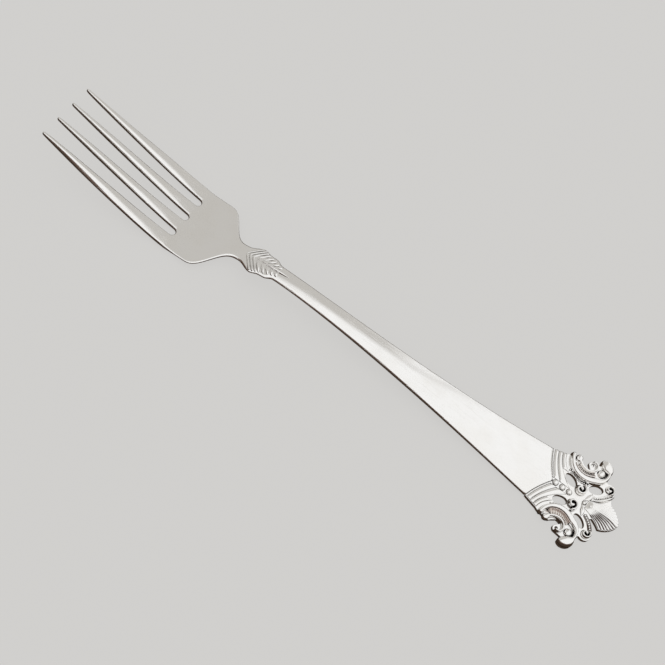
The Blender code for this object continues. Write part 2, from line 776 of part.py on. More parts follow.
for number in range(CHEVRONS):
    place(f"neck_chevron_{number + 1}", chevron(number), relief, body_top)
collar_leaf = leaf(
    COLLAR_START + CHEVRON_START + CHEVRONS * CHEVRON_PITCH + ORNAMENT_GAP,
    COLLAR_LEAF_BASE_WIDTH, COLLAR_LEAF_LENGTH, COLLAR_LEAF_SHOULDER,
    COLLAR_LEAF_SPREAD, COLLAR_LEAF_RIBS, COLLAR_LEAF_HEIGHT,
)
place("neck_leaf", collar_leaf, relief, body_top)

place("finial_plate", finial_plate(), relief)
for number in range(BEADS):
    place(f"bead_{number + 1}", dome(FIRST_BEAD + number * BEAD_PITCH, 0, BEAD_RADIUS), relief, on_plate)
place("small_bead", dome(SMALL_BEAD_X, 0, SMALL_BEAD_RADIUS), relief, on_plate)
palmette = leaf(
    PALMETTE_X, PALMETTE_BASE_WIDTH, PALMETTE_LENGTH, PALMETTE_SHOULDER,
    PALMETTE_SPREAD, PALMETTE_RIBS, PALMETTE_HEIGHT,
)
place("palmette", palmette, relief, on_plate)

for hand, side in (("right", 1), ("left", -1)):
    for number, kind in enumerate(REEDS):
        place(f"{kind}_{hand}", reed(number), relief, on_plate, side)
    arch = bar(ARCH_OUTER, ARCH_INNER, scroll_heights(ARCH_HALVES, ARCH_HEIGHT))
    place(f"arch_scroll_{hand}", arch, relief, on_plate, side)
    rim_outer, rim_inner, rim_halves = rim_sides()
    rim = bar(rim_outer, rim_inner, scroll_heights(rim_halves, RIM_HEIGHT))
    place(f"rim_scroll_{hand}", rim, relief, on_plate, side)
    place(f"flutes_{hand}", flutes(), darkened, on_plate, side)
    place(f"eye_bead_{hand}", dome(EYE_X, EYE_Y, EYE_RADIUS), relief, on_plate, side)
    volute = scroll(volute_path(), VOLUTE_BAND, VOLUTE_BALL, VOLUTE_HEIGHT)
    place(f"inner_volute_{hand}", volute, relief, on_plate, side)
    side_volute = scroll(side_volute_path(), SIDE_VOLUTE_BAND, SIDE_VOLUTE_BALL, SIDE_VOLUTE_HEIGHT)
    place(f"side_volute_{hand}", side_volute, relief, on_plate, side)
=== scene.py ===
# %% [markdown]
# # A silver lunch fork
# This lesson dresses a lunch fork of silver: four tines, a plain stem that flares, and a pierced
# finial of reeds, scrolls, beads and a palmette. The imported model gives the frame, in metres,
# with the fork along +X from the tines to the finial and its back on z = 0. Every piece is drawn
# on a flat blank and then bent to the fork's side profile, as a smith would do it.

# %% Load the frame
import math

import bmesh
import bpy
from mathutils import Matrix, Vector


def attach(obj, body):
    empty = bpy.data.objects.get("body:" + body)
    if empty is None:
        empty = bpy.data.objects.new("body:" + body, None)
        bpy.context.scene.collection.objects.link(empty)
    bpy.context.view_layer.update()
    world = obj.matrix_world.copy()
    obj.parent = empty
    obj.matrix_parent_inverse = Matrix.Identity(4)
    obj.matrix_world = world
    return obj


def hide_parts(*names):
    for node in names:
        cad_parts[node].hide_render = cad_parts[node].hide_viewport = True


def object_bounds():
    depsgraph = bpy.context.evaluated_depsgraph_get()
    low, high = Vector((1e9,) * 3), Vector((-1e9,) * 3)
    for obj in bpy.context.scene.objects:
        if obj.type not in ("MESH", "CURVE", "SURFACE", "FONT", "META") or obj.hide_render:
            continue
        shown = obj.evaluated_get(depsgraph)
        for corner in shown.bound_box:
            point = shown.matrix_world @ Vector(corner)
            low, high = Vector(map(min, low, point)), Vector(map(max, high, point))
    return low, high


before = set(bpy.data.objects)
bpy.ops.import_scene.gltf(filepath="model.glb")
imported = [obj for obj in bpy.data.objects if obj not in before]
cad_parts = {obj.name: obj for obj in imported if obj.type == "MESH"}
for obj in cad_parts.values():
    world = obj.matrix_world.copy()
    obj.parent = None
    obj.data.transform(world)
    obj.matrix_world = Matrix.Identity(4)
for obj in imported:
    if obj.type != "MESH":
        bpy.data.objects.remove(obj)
cad_box = [list(corner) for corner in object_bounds()]
print("CAD nodes:", len(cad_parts))

# %% [markdown]
# ## Camera
# The photograph looks down on the fork at about sixty degrees, with the fork turned across the
# picture. A camera could be aimed with a constraint, but then its roll is hard to set, so its
# matrix is put together from an aim point, three turns and a distance.

# %% Camera
CAMERA_AIM = Vector((0.000557, -0.004595, 0.005))
CAMERA_AZIMUTH = math.radians(6.122)
CAMERA_ELEVATION = math.radians(59.569)
CAMERA_ROLL = math.radians(30.374)
CAMERA_DISTANCE = 0.33532

scene = bpy.context.scene
camera = bpy.data.objects.new("camera", bpy.data.cameras.new("camera"))
camera.data.lens = 73.39
camera.data.sensor_width = 36
camera.data.clip_start = 0.01
camera.matrix_world = (
    Matrix.Translation(CAMERA_AIM)
    @ Matrix.Rotation(CAMERA_AZIMUTH, 4, "Z")
    @ Matrix.Rotation(math.pi / 2 - CAMERA_ELEVATION, 4, "X")
    @ Matrix.Rotation(CAMERA_ROLL, 4, "Z")
    @ Matrix.Translation((0, 0, CAMERA_DISTANCE))
)
scene.collection.objects.link(camera)
scene.camera = camera
print("camera at", camera.matrix_world.translation)

# %% [markdown]
# ## Floor and light
# Polished silver has next to no colour of its own: it shows what stands around it. So most of the
# studio is cards that are seen only in the silver. The pale floor would be mirrored in every wall
# and take away the dark edges, so a dark brown card below it is seen in its place. A grey tent
# surrounds the fork. White cards low above it make the stem and the finial gleam and leave the
# tines and the root grey.

# %% Floor and table card
FLOOR_COLOUR = (0.10, 0.099, 0.097, 1)
FLOOR_GLOW = (0.575, 0.569, 0.558, 1)
TABLE_BROWN = (0.050, 0.034, 0.024, 1)
ROOM_BROWN = (0.13, 0.085, 0.066, 1)
BLACK = (0, 0, 0, 1)


def set_inputs(node, values):
    """Set sockets of a node by their names."""
    for name, value in values.items():
        node.inputs[name].default_value = value


def card(name, size, spot, turn, colour, glow, tilt=0.0):
    """A plane of the studio, matt and with a glow of its own."""
    bm = bmesh.new()
    bmesh.ops.create_grid(bm, x_segments=1, y_segments=1, size=0.5)
    bmesh.ops.scale(bm, verts=bm.verts, vec=(*size, 1))
    turned = Matrix.Rotation(turn, 3, "Z") @ Matrix.Rotation(tilt, 3, "X")
    bmesh.ops.rotate(bm, verts=bm.verts, matrix=turned)
    bmesh.ops.translate(bm, verts=bm.verts, vec=spot)
    mesh = bpy.data.meshes.new(name)
    bm.to_mesh(mesh)
    bm.free()
    paper = bpy.data.materials.new(f"{name}_paper")
    paper.use_nodes = True
    shader = paper.node_tree.nodes["Principled BSDF"]
    set_inputs(shader, {"Base Color": colour, "Roughness": 0.9, "Specular IOR Level": 0})
    set_inputs(shader, {"Emission Color": glow, "Emission Strength": 1})
    mesh.materials.append(paper)
    plane = bpy.data.objects.new(name, mesh)
    scene.collection.objects.link(plane)
    return plane


def mirrored_card(name, size, spot, turn, glow, tilt=0.0):
    """A card that is seen in the silver and nowhere else."""
    plane = card(name, size, spot, turn, BLACK, glow, tilt)
    plane.visible_camera = False
    plane.visible_diffuse = False
    plane.visible_shadow = False
    plane.visible_transmission = False


floor = card("floor", (4, 4), (0, 0, -0.0002), 0, FLOOR_COLOUR, FLOOR_GLOW)
floor.visible_glossy = False
mirrored_card("table_card", (4, 2), (0, -0.98, -0.001), 0, TABLE_BROWN)
mirrored_card("front_wall", (4, 0.30), (0, -0.5, 0.15), 0, ROOM_BROWN, math.pi / 2)
print("floor, table card and front wall")

# %% White cards
CARD_WHITE = (0.955, 0.952, 0.946, 1)
CARD_TURN = math.radians(-31.8)
CARD_EDGE = Vector((-0.032, 0, 0.2))
HALFTONE = (0.755, 0.745, 0.730, 1)
HALFTONE_WIDTH = 0.02

reach = Matrix.Rotation(CARD_TURN, 3, "Z") @ Vector((1, 0, 0))
mirrored_card("stem_card", (1, 3), CARD_EDGE + reach / 2, CARD_TURN, CARD_WHITE)
soft_middle = CARD_EDGE - reach * HALFTONE_WIDTH / 2
mirrored_card("soft_edge", (HALFTONE_WIDTH, 3), soft_middle, CARD_TURN, HALFTONE)
mirrored_card("finial_card", (1, 1.43), (0.55, 0.835, 0.205), 0, CARD_WHITE)
mirrored_card("low_card", (1, 1), (0.53, 0.52, -0.001), 0, CARD_WHITE)
print("white cards: 3, with one soft edge")

# %% Tent and light
TENT_GREY = (0.557, 0.541, 0.514, 1)

world = bpy.data.worlds.new("tent")
world.use_nodes = True
world.node_tree.nodes["Background"].inputs["Color"].default_value = TENT_GREY
scene.world = world
scene.view_settings.view_transform = "Standard"

light = bpy.data.lights.new("overhead", "AREA")
light.size = 3
light.energy = 4
overhead = bpy.data.objects.new("overhead", light)
overhead.location = (0, 0, 2)
overhead.visible_glossy = False
scene.collection.objects.link(overhead)
print("light:", overhead.name)

# %% [markdown]
# ## Silver
# The fork is one metal with three finishes: polished and lightly worn, polished with dark
# recesses, and dark in the fluted hollows. The dark is partly patina and partly painted shade.
# Wear, and patina with painted shade, are made once, as node groups that put out only masks and
# values, and each finish mixes them with its own numbers.

# %% Node group: wear from use
def new_group(name, inputs, outputs):
    """A shader node group that takes a vector and named values, and puts out values."""
    group = bpy.data.node_groups.new(name, "ShaderNodeTree")
    group.interface.new_socket("Vector", in_out="INPUT", socket_type="NodeSocketVector")
    for way, sockets in (("INPUT", inputs), ("OUTPUT", outputs)):
        for socket in sockets:
            group.interface.new_socket(socket, in_out=way, socket_type="NodeSocketFloat")
    return group, group.nodes.new("NodeGroupInput"), group.nodes.new("NodeGroupOutput")


def add_node(tree, kind, **settings):
    node = tree.nodes.new(kind)
    for name, value in settings.items():
        setattr(node, name, value)
    return node


def spread(tree, source, low, high, to_low=0.0, to_high=1.0):
    """Map a value from low..high to a new range, clamped and with soft ends."""
    node = add_node(tree, "ShaderNodeMapRange", interpolation_type="SMOOTHSTEP")
    tree.links.new(source, node.inputs["Value"])
    set_inputs(node, {"From Min": low, "From Max": high, "To Min": to_low, "To Max": to_high})
    return node.outputs["Result"]


def combine(tree, operation, a, b):
    """Math node on two values, each a socket or a number."""
    node = add_node(tree, "ShaderNodeMath", operation=operation)
    for number, value in enumerate((a, b)):
        if isinstance(value, (int, float)):
            node.inputs[number].default_value = value
        else:
            tree.links.new(value, node.inputs[number])
    return node.outputs["Value"]


def noise(tree, vector, scale, turn, detail):
    """Noise on the piece, scaled along each axis and turned about Z."""
    mapping = add_node(tree, "ShaderNodeMapping")
    set_inputs(mapping, {"Rotation": (0, 0, turn), "Scale": scale})
    tree.links.new(vector, mapping.inputs["Vector"])
    texture = add_node(tree, "ShaderNodeTexNoise")
    set_inputs(texture, {"Scale": 1, "Detail": detail})
    tree.links.new(mapping.outputs["Vector"], texture.inputs["Vector"])
    return texture.outputs["Fac"]


wear, inside, outside = new_group("wear_from_use", [], ["Scratches", "Haze"])
vector = inside.outputs["Vector"]
marks = 0.0
for scale, turn, low, high in (
    ((90, 5200, 900), 9, 0.60, 0.72),
    ((110, 6400, 900), -34, 0.63, 0.74),
    ((160, 9000, 900), 62, 0.64, 0.74),
):
    streaks = noise(wear, vector, scale, math.radians(turn), 2)
    marks = combine(wear, "MAXIMUM", marks, spread(wear, streaks, low, high))
haze = spread(wear, noise(wear, vector, (150, 190, 150), 0.5, 4), 0.35, 0.68)
wear.links.new(marks, outside.inputs["Scratches"])
wear.links.new(haze, outside.inputs["Haze"])
print("node group:", wear.name)

# %% Node group: patina and painted shade in recesses
patina_and_shade, inside, outside = new_group(
    "patina_and_painted_shade", ["Lift", "Openness"], ["Tarnish", "Depth"]
)
speckle = noise(patina_and_shade, inside.outputs["Vector"], (700, 700, 700), 0, 3)
patches = spread(patina_and_shade, speckle, 0.3, 0.7, 0.75, 1.2)
past_top = combine(patina_and_shade, "SUBTRACT", inside.outputs["Lift"], 1.0)
# Lift past 1 is painted light, added on the far side: it thins the painted shade.
painted_light = combine(patina_and_shade, "MULTIPLY", combine(patina_and_shade, "MAXIMUM", past_top, 0.0), 0.3)
openness = combine(patina_and_shade, "ADD", inside.outputs["Openness"], painted_light)
# Closed-in places, by ambient occlusion, and low places, by lift, take patina and painted shade.
closed = spread(patina_and_shade, openness, 0.66, 0.30)
low = spread(patina_and_shade, inside.outputs["Lift"], 0.30, 0.02)
covered = combine(patina_and_shade, "MAXIMUM", closed, combine(patina_and_shade, "MULTIPLY", low, 0.92))
patina_and_shade.links.new(combine(patina_and_shade, "MULTIPLY", covered, patches), outside.inputs["Tarnish"])
# Depth is painted deep shade: the most closed-in places are painted black.
patina_and_shade.links.new(spread(patina_and_shade, openness, 0.50, 0.18), outside.inputs["Depth"])
print("node group:", patina_and_shade.name)

# %% Three finishes
RECESS_REACH = 0.0008
CLEAN_SILVER = (0.938, 0.933, 0.923, 1)
HAZED_SILVER = (0.918, 0.908, 0.888, 1)
# Recess colours: the brown is partly patina and partly painted shade, the black is painted deep
# shade.
RELIEF_BROWN = (0.085, 0.058, 0.046, 1)
RELIEF_BLACK = (0.012, 0.009, 0.008, 1)
# The fluted hollows' colours are darker and warmer than the rest: partly patina, partly painted
# shade.
HOLLOW_CLEAN = (0.90, 0.87, 0.84, 1)
HOLLOW_HAZED = (0.84, 0.79, 0.75, 1)
HOLLOW_BROWN = (0.54, 0.44, 0.39, 1)
HOLLOW_BLACK = (0.010, 0.008, 0.007, 1)


def mix_colours(tree, factor, a, b):
    """Colour mix; a and b are colours or sockets."""
    node = add_node(tree, "ShaderNodeMix", data_type="RGBA", clamp_factor=True)
    tree.links.new(factor, node.inputs["Factor"])
    for socket, value in ((node.inputs[6], a), (node.inputs[7], b)):
        if isinstance(value, tuple):
            socket.default_value = value
        else:
            tree.links.new(value, socket)
    return node.outputs[2]


def silver_finish(name, clean, hazed, smooth, rough, scratch_depth):
    """A worn silver; returns its material, tree, and what patina and painted shade build on."""
    material = bpy.data.materials.new(name)
    material.use_nodes = True
    tree = material.node_tree
    shader = tree.nodes["Principled BSDF"]
    shader.inputs["Metallic"].default_value = 1
    places = add_node(tree, "ShaderNodeTexCoord")
    worn = add_node(tree, "ShaderNodeGroup", node_tree=wear)
    tree.links.new(places.outputs["Object"], worn.inputs["Vector"])
    colour = mix_colours(tree, worn.outputs["Haze"], clean, hazed)
    dulled = combine(tree, "MULTIPLY", worn.outputs["Haze"], rough - smooth)
    scratched = combine(tree, "MULTIPLY", worn.outputs["Scratches"], 0.06)
    roughness = combine(tree, "ADD", combine(tree, "ADD", dulled, smooth), scratched)
    bump = add_node(tree, "ShaderNodeBump")
    set_inputs(bump, {"Strength": 0.35, "Distance": scratch_depth})
    tree.links.new(combine(tree, "SUBTRACT", 1.0, worn.outputs["Scratches"]), bump.inputs["Height"])
    tree.links.new(bump.outputs["Normal"], shader.inputs["Normal"])
    tree.links.new(colour, shader.inputs["Base Color"])
    tree.links.new(roughness, shader.inputs["Roughness"])
    return material, tree, shader, places, colour, roughness


def add_patina_and_shade(tree, shader, places, colour, roughness, brown, black):
    """Paint patina and shade into a silver's recesses, from its lift and how closed in it is."""
    height = add_node(tree, "ShaderNodeAttribute", attribute_name="lift")
    openness = add_node(tree, "ShaderNodeAmbientOcclusion", samples=12)
    openness.inputs["Distance"].default_value = RECESS_REACH
    dark = add_node(tree, "ShaderNodeGroup", node_tree=patina_and_shade)
    tree.links.new(places.outputs["Object"], dark.inputs["Vector"])
    tree.links.new(height.outputs["Fac"], dark.inputs["Lift"])
    tree.links.new(openness.outputs["AO"], dark.inputs["Openness"])
    browned = mix_colours(tree, dark.outputs["Tarnish"], colour, brown)
    darkened = mix_colours(tree, dark.outputs["Depth"], browned, black)
    tree.links.new(darkened, shader.inputs["Base Color"])
    dulled = combine(tree, "MULTIPLY", dark.outputs["Tarnish"], 0.2)
    tree.links.new(combine(tree, "ADD", roughness, dulled), shader.inputs["Roughness"])


polished, *_ = silver_finish("polished_silver", CLEAN_SILVER, HAZED_SILVER, 0.13, 0.19, 0.00002)
relief, *parts = silver_finish("relief_silver", CLEAN_SILVER, HAZED_SILVER, 0.10, 0.16, 0.00001)
add_patina_and_shade(*parts, RELIEF_BROWN, RELIEF_BLACK)
hollow, *parts = silver_finish("darkened_silver", HOLLOW_CLEAN, HOLLOW_HAZED, 0.14, 0.22, 0.00001)
add_patina_and_shade(*parts, HOLLOW_BROWN, HOLLOW_BLACK)
print("finishes:", polished.name, relief.name, hollow.name)

# %% [markdown]
# ## The blank
# The fork's sizes, from its tips to its finial, and the curves that bend and thin the blank.

# %% Sizes of the blank
LENGTH = cad_box[1][0] - cad_box[0][0]
TINE_LENGTH = 0.0394
BEND_START = 0.9 * TINE_LENGTH
BELLY_END = TINE_LENGTH + 0.0022
ROOT_END = TINE_LENGTH + 0.0066
COLLAR_START = ROOT_END + 0.0098
COLLAR_LENGTH = 0.0112
COLLAR_END = COLLAR_START + COLLAR_LENGTH
CREST = COLLAR_END + 0.0036
STEM_LENGTH = 0.0813
VEE_EDGE = COLLAR_END + STEM_LENGTH
VEE_DEPTH = 0.0040
VEE_BOW = 0.0004
VEE_TIP = VEE_EDGE + VEE_DEPTH
LANDING = VEE_EDGE + 0.0105

HEAD_HALF = 0.01065
NECK_WIDTH = 0.0051
STEM_WIDTH = 0.0047
STEM_END_HALF = 0.0079
STEM_FLARE = 1.9
COLLAR_SWELL = 0.0016
COLLAR_LEAD = 0.0008
COLLAR_PEAK = 0.0050
COLLAR_STEP = 0.00065
COLLAR_SOFT = 0.0020
COLLAR_FALL = 0.0088

TIP_RISE = 0.0088
TINE_BEND = 1.17
CREST_RISE = 0.0042
TIP_THICKNESS = 0.0009
TINE_SWELL = 0.0006
SWELL_POWER = 0.7
ROOT_THICKNESS = 0.0015
NECK_THICKNESS = 0.0022
STEM_END_THICKNESS = 0.0016
ROOT_CROWN = 0.00015
NECK_CROWN = 0.0007
STEM_END_CROWN = 0.0001


def ease(u):
    """From 0 to 1 with level ends."""
    u = min(max(u, 0.0), 1.0)
    return u * u * (3 - 2 * u)


def mix(a, b, u):
    return a + (b - a) * u


def between(start, end, u):
    """The point at share u of the way from start to end."""
    return tuple(mix(a, b, u) for a, b in zip(start, end))


def spaced(start, end, steps):
    """Evenly spaced values from start to end, both included."""
    return [mix(start, end, step / steps) for step in range(steps + 1)]


def into_neck(x):
    """From 0 at the root's end to 1 where the neck's ornament starts."""
    return ease((x - ROOT_END) / (COLLAR_START - ROOT_END))


def down_stem(x):
    """From 0 at the neck's crest to 1 at the stem's end."""
    return ease((x - CREST) / (VEE_EDGE - CREST))


def descent(x):
    """From 1 at the neck's crest down along the stem."""
    return 1 - ease((x - CREST) / (LANDING - CREST))


def tine_rise(x):
    return TIP_RISE * (1 - max(x, 0) / TINE_LENGTH) ** TINE_BEND


def rise(x):
    """Height of the fork's back above the table; the tines settle into the root in a soft bend."""
    if x < BEND_START:
        return tine_rise(x)
    if x < CREST:
        reach = 2 * (TINE_LENGTH - BEND_START) / TINE_BEND
        settle = tine_rise(BEND_START) * max(1 - (x - BEND_START) / reach, 0) ** 2
        return settle + CREST_RISE * ease((x - BELLY_END) / (CREST - BELLY_END))
    end = descent(VEE_EDGE)
    return CREST_RISE * max(descent(x) - end, 0) / (1 - end)


def thickness(x):
    if x < TINE_LENGTH:
        u = max(x, 0) / TINE_LENGTH
        swell = TINE_SWELL * math.sin(math.pi * u**SWELL_POWER)
        return mix(TIP_THICKNESS, ROOT_THICKNESS, u) + swell
    if x < CREST:
        return mix(ROOT_THICKNESS, NECK_THICKNESS, into_neck(x))
    return mix(NECK_THICKNESS, STEM_END_THICKNESS, down_stem(x))


def half_width(x):
    """Half the width of the root, neck and stem."""
    if x < COLLAR_END:
        along = x - COLLAR_START
        u = min(max((x - ROOT_END) / (COLLAR_START - ROOT_END), 0), 1)
        shoulder = u**3 * (u * (6 * u - 15) + 10)
        neck = mix(NECK_WIDTH, STEM_WIDTH, ease(along / COLLAR_LENGTH)) / 2
        swell = COLLAR_SWELL * ease((along - COLLAR_LEAD) / (COLLAR_PEAK - COLLAR_LEAD))
        swell -= COLLAR_STEP * ease((along - COLLAR_PEAK) / COLLAR_SOFT)
        swell *= 1 - ease((along - COLLAR_FALL) / COLLAR_SOFT)
        return mix(HEAD_HALF, neck, shoulder) + swell
    flare = (x - COLLAR_END) / STEM_LENGTH
    return mix(STEM_WIDTH / 2, STEM_END_HALF, flare**STEM_FLARE)


def crown(x):
    """How far the top falls from its middle to its edges."""
    if x < CREST:
        return mix(ROOT_CROWN, NECK_CROWN, into_neck(x))
    return mix(NECK_CROWN, STEM_END_CROWN, down_stem(x))


def body_top(x, y):
    """Height of the top of the root, neck or stem above its back."""
    return thickness(x) - crown(x) * (y / half_width(x)) ** 2


def vee(y):
    """Where the plain stem ends, in the pointed joint that takes the finial."""
    u = abs(y) / STEM_END_HALF
    return VEE_TIP - VEE_DEPTH * u - 4 * VEE_BOW * u * (1 - u)


print("blank", LENGTH, "m long")

# %% [markdown]
# ## Forging: tines, root and stem
# On the real fork the tines, the root and the stem are one forging with soft, buffed edges. A
# grid makes a good comb: its slot faces are deleted, its vertices are moved to the plan, and
# the sheet is extruded to its thickness. The outer tines slope down to a flank on their outer
# sides. A subdivision surface then rounds the edges and the slots' ends, which a bevel would
# clamp to the thin tips.

# %% Plan of the forging
EDGE_ROUND = 0.0004
ROOT_BACK_ROUND = 0.0005
NECK_BACK_ROUND = 0.00074
SLOT_HALF = 0.00105
SLOT_PITCH = 0.00567
TIP_PITCH = 0.0059
TIP_HALF = 0.00034
TINES = 4
OUTER_TAPER = 0.72
INNER_TAPER = 0.82
TINE_ROWS = (0, 0.008, 0.03, 0.08, 0.15, 0.24, 0.34, 0.44, 0.54, 0.64, 0.74, 0.84, 0.92, 0.972)
TINE_PROFILE = (
    (0, 0.12, 0.58), (0.12, 0.02, 0.84), (0.3, 0, 0.97), (0.5, 0, 1),
    (0.7, 0, 0.97), (0.88, 0.02, 0.84), (1, 0.12, 0.58),
)
SLOT_COLUMNS = (-0.45, 0.45)
FLANK_FOOT = 0.2
FLANK_CURVE = 2.1


def tine_edges(index, u):
    """Left and right edge of a tine, u from its tip to the slots' ends."""
    centre = (index - 1.5) * TIP_PITCH
    taper = OUTER_TAPER if index in (0, TINES - 1) else INNER_TAPER
    edges = []
    for sign in (-1, 1):
        tip = centre + sign * TIP_HALF * (0.6 if u == 0 else 1)
        if (index, sign) in ((0, -1), (TINES - 1, 1)):
            edges.append(mix(tip, sign * HEAD_HALF, 1 - (1 - u) ** 2))
        else:
            slot = (index - 1.5 + sign / 2) * SLOT_PITCH
            edges.append(mix(tip, slot - sign * SLOT_HALF, u**taper))
    return edges


# Each column is a tine and a place in its profile, or a slot and a share of it. The root places
# say where the columns cross the slots' ends.
COMB = []
root_places = []
for index in range(TINES):
    for place, (across, *_) in enumerate(TINE_PROFILE):
        COMB.append((index, place, None))
        root_places.append(mix(*tine_edges(index, 1), across))
    if index < TINES - 1:
        for share in SLOT_COLUMNS:
            COMB.append((index, None, share))
            root_places.append((index - 1) * SLOT_PITCH + share * SLOT_HALF)
body_rows = [TINE_LENGTH + step for step in (0, 0.0006, 0.0016, 0.0034)]
body_rows += spaced(ROOT_END - 0.0012, COLLAR_START, 11)
body_rows += spaced(COLLAR_START, COLLAR_END, 16)[1:]
stem_rows = spaced(0, 1, 18)[1:]
rows = len(TINE_ROWS) + len(body_rows) + len(stem_rows)
columns = len(COMB)
print("comb of", rows, "rows and", columns, "columns")

# %% Height of the forging at each crossing of the comb
def body_places(x):
    """Places across the root, neck or stem, in the order of the comb's columns."""
    half = half_width(x)
    shares = [place / (HEAD_HALF - EDGE_ROUND) for place in root_places[1:-1]]
    return [-half] + [share * (half - EDGE_ROUND) for share in shares] + [half]


def flank_top(outward, u, high):
    """Top of an outer tine, whose outer half slopes to a flank; outward is 1 at its edge."""
    flank = mix(1, FLANK_FOOT, max(2 * outward - 1, 0) ** FLANK_CURVE)
    return mix(high, flank, ease(u / 0.12) * (1 - ease((u - 0.35) / 0.4)))


def comb_crossing(row, column):
    """Plan of the forging at a crossing of the comb, and heights of its back and its top."""
    index, place, share = COMB[column]
    if row < len(TINE_ROWS):
        u = TINE_ROWS[row]
        across, low, high = TINE_PROFILE[place]
        x = u * TINE_LENGTH
        high = mix(high, 1, 0.75 * ease((u - 0.7) / 0.3))
        if index in (0, TINES - 1):
            high = min(high, flank_top(across if index else 1 - across, u, high))
        return x, mix(*tine_edges(index, u), across), thickness(x) * low, thickness(x) * high
    row -= len(TINE_ROWS)
    u = 0 if row < len(body_rows) else stem_rows[row - len(body_rows)]
    at = mix(COLLAR_END, VEE_EDGE, u) if u else body_rows[row]
    y = body_places(at)[column]
    x = mix(COLLAR_END, vee(y), u) if u else at
    outside = column in (0, columns - 1)
    beside_slot = place in (0, len(TINE_PROFILE) - 1) and not outside
    slot_end = row == 0 and (beside_slot or share is not None)
    if slot_end:
        x += SLOT_HALF / 3 * (-1 if beside_slot else 1)
    soft = EDGE_ROUND if slot_end or outside else 0
    along_stem = ease((at - COLLAR_END) / (STEM_LENGTH / 2))
    soft *= mix(0.6, 1, along_stem)
    back = mix(ROOT_BACK_ROUND, NECK_BACK_ROUND, into_neck(at)) * (abs(y) / half_width(at)) ** 3
    back *= ease((at - TINE_LENGTH) / 0.004) * (1 - along_stem)
    return x, y, soft + back, body_top(at, y) - soft


def is_slot(face):
    """Whether a face lies between two tines."""
    middle = face.calc_center_median()
    column = int((middle.y + 0.5) * (columns - 1))
    row = int((middle.x + 0.5) * (rows - 1))
    slotted = COMB[column][2] is not None or COMB[column + 1][2] is not None
    return row < len(TINE_ROWS) and slotted


# %% Make the forging
def extrude_sheet(bm):
    """Extrude a whole sheet of faces and return the new vertices."""
    made = bmesh.ops.extrude_face_region(bm, geom=bm.faces[:])["geom"]
    return [item for item in made if isinstance(item, bmesh.types.BMVert)]


def add_piece(name, bm, material, nodes, smooth=True, levels=0):
    """Turn a finished bmesh into a piece that rides on the fork and stands for CAD nodes."""
    bmesh.ops.recalc_face_normals(bm, faces=bm.faces)
    if bm.calc_volume(signed=True) < 0:
        bmesh.ops.reverse_faces(bm, faces=bm.faces)
    mesh = bpy.data.meshes.new(name)
    bm.to_mesh(mesh)
    bm.free()
    mesh.materials.append(material)
    if smooth:
        mesh.shade_smooth()
    piece = bpy.data.objects.new(name, mesh)
    scene.collection.objects.link(piece)
    if levels:
        rounding = piece.modifiers.new("rounding", "SUBSURF")
        rounding.levels = levels
        rounding.render_levels = levels
    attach(piece, "root")
    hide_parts(*nodes)
    return piece


bm = bmesh.new()
row_of = bm.verts.layers.int.new("row")
column_of = bm.verts.layers.int.new("column")
crease = bm.edges.layers.float.new("crease_edge")
bmesh.ops.create_grid(bm, x_segments=rows - 1, y_segments=columns - 1, size=0.5)
for vertex in bm.verts:
    vertex[row_of] = round((vertex.co.x + 0.5) * (rows - 1))
    vertex[column_of] = round((vertex.co.y + 0.5) * (columns - 1))
bmesh.ops.delete(bm, geom=[face for face in bm.faces if is_slot(face)], context="FACES")
top = set(extrude_sheet(bm))
for vertex in bm.verts:
    x, y, low, high = comb_crossing(vertex[row_of], vertex[column_of])
    vertex.co = (x - LENGTH / 2, y, rise(x) + (high if vertex in top else low))
for edge in bm.edges:
    if all(vertex[row_of] == rows - 1 for vertex in edge.verts):
        edge[crease] = 0.9
tines = [f"tine_{number}" for number in range(1, TINES + 1)]
forging = add_piece("forging", bm, polished, ["stem", *tines], levels=2)
print("forging:", len(forging.data.polygons), "faces")

# %% [markdown]
# ## Bars and beads
# Reeds, scrolls and volutes are all rounded bars on a flat ground. A curve with a bevel object
# could draw them, but its width can't change as freely. Here one circle is extruded along the
# path, and each new ring is set in its place by a matrix. A value called lift is kept at every
# vertex, so that the finish knows where the recesses are, to darken them with patina and painted
# shade. It is 0 at the ground and 1 on top, and more where painted light is added, which thins the
# painted shade.

# %% Shared steps for the ornament
GAP = 0.00015
PLATE_TOP = 0.0011
SUNK = 0.0002
BAR_SIDES = 20
SHADE_DISC_DROP = 0.0001


def polar(x, y, radius, angle):
    return x + radius * math.cos(angle), y + radius * math.sin(angle)


def new_relief():
    """A bmesh whose vertices keep their lift."""
    bm = bmesh.new()
    bm.verts.layers.float.new("lift")
    return bm


def new_ring(bm, ring):
    """Extrude a closed ring of vertices and return the new ring."""
    edges = {edge for vertex in ring for edge in vertex.link_edges}
    edges = [edge for edge in edges if all(vertex in ring for vertex in edge.verts)]
    made = bmesh.ops.extrude_edge_only(bm, edges=edges)["geom"]
    return {item for item in made if isinstance(item, bmesh.types.BMVert)}


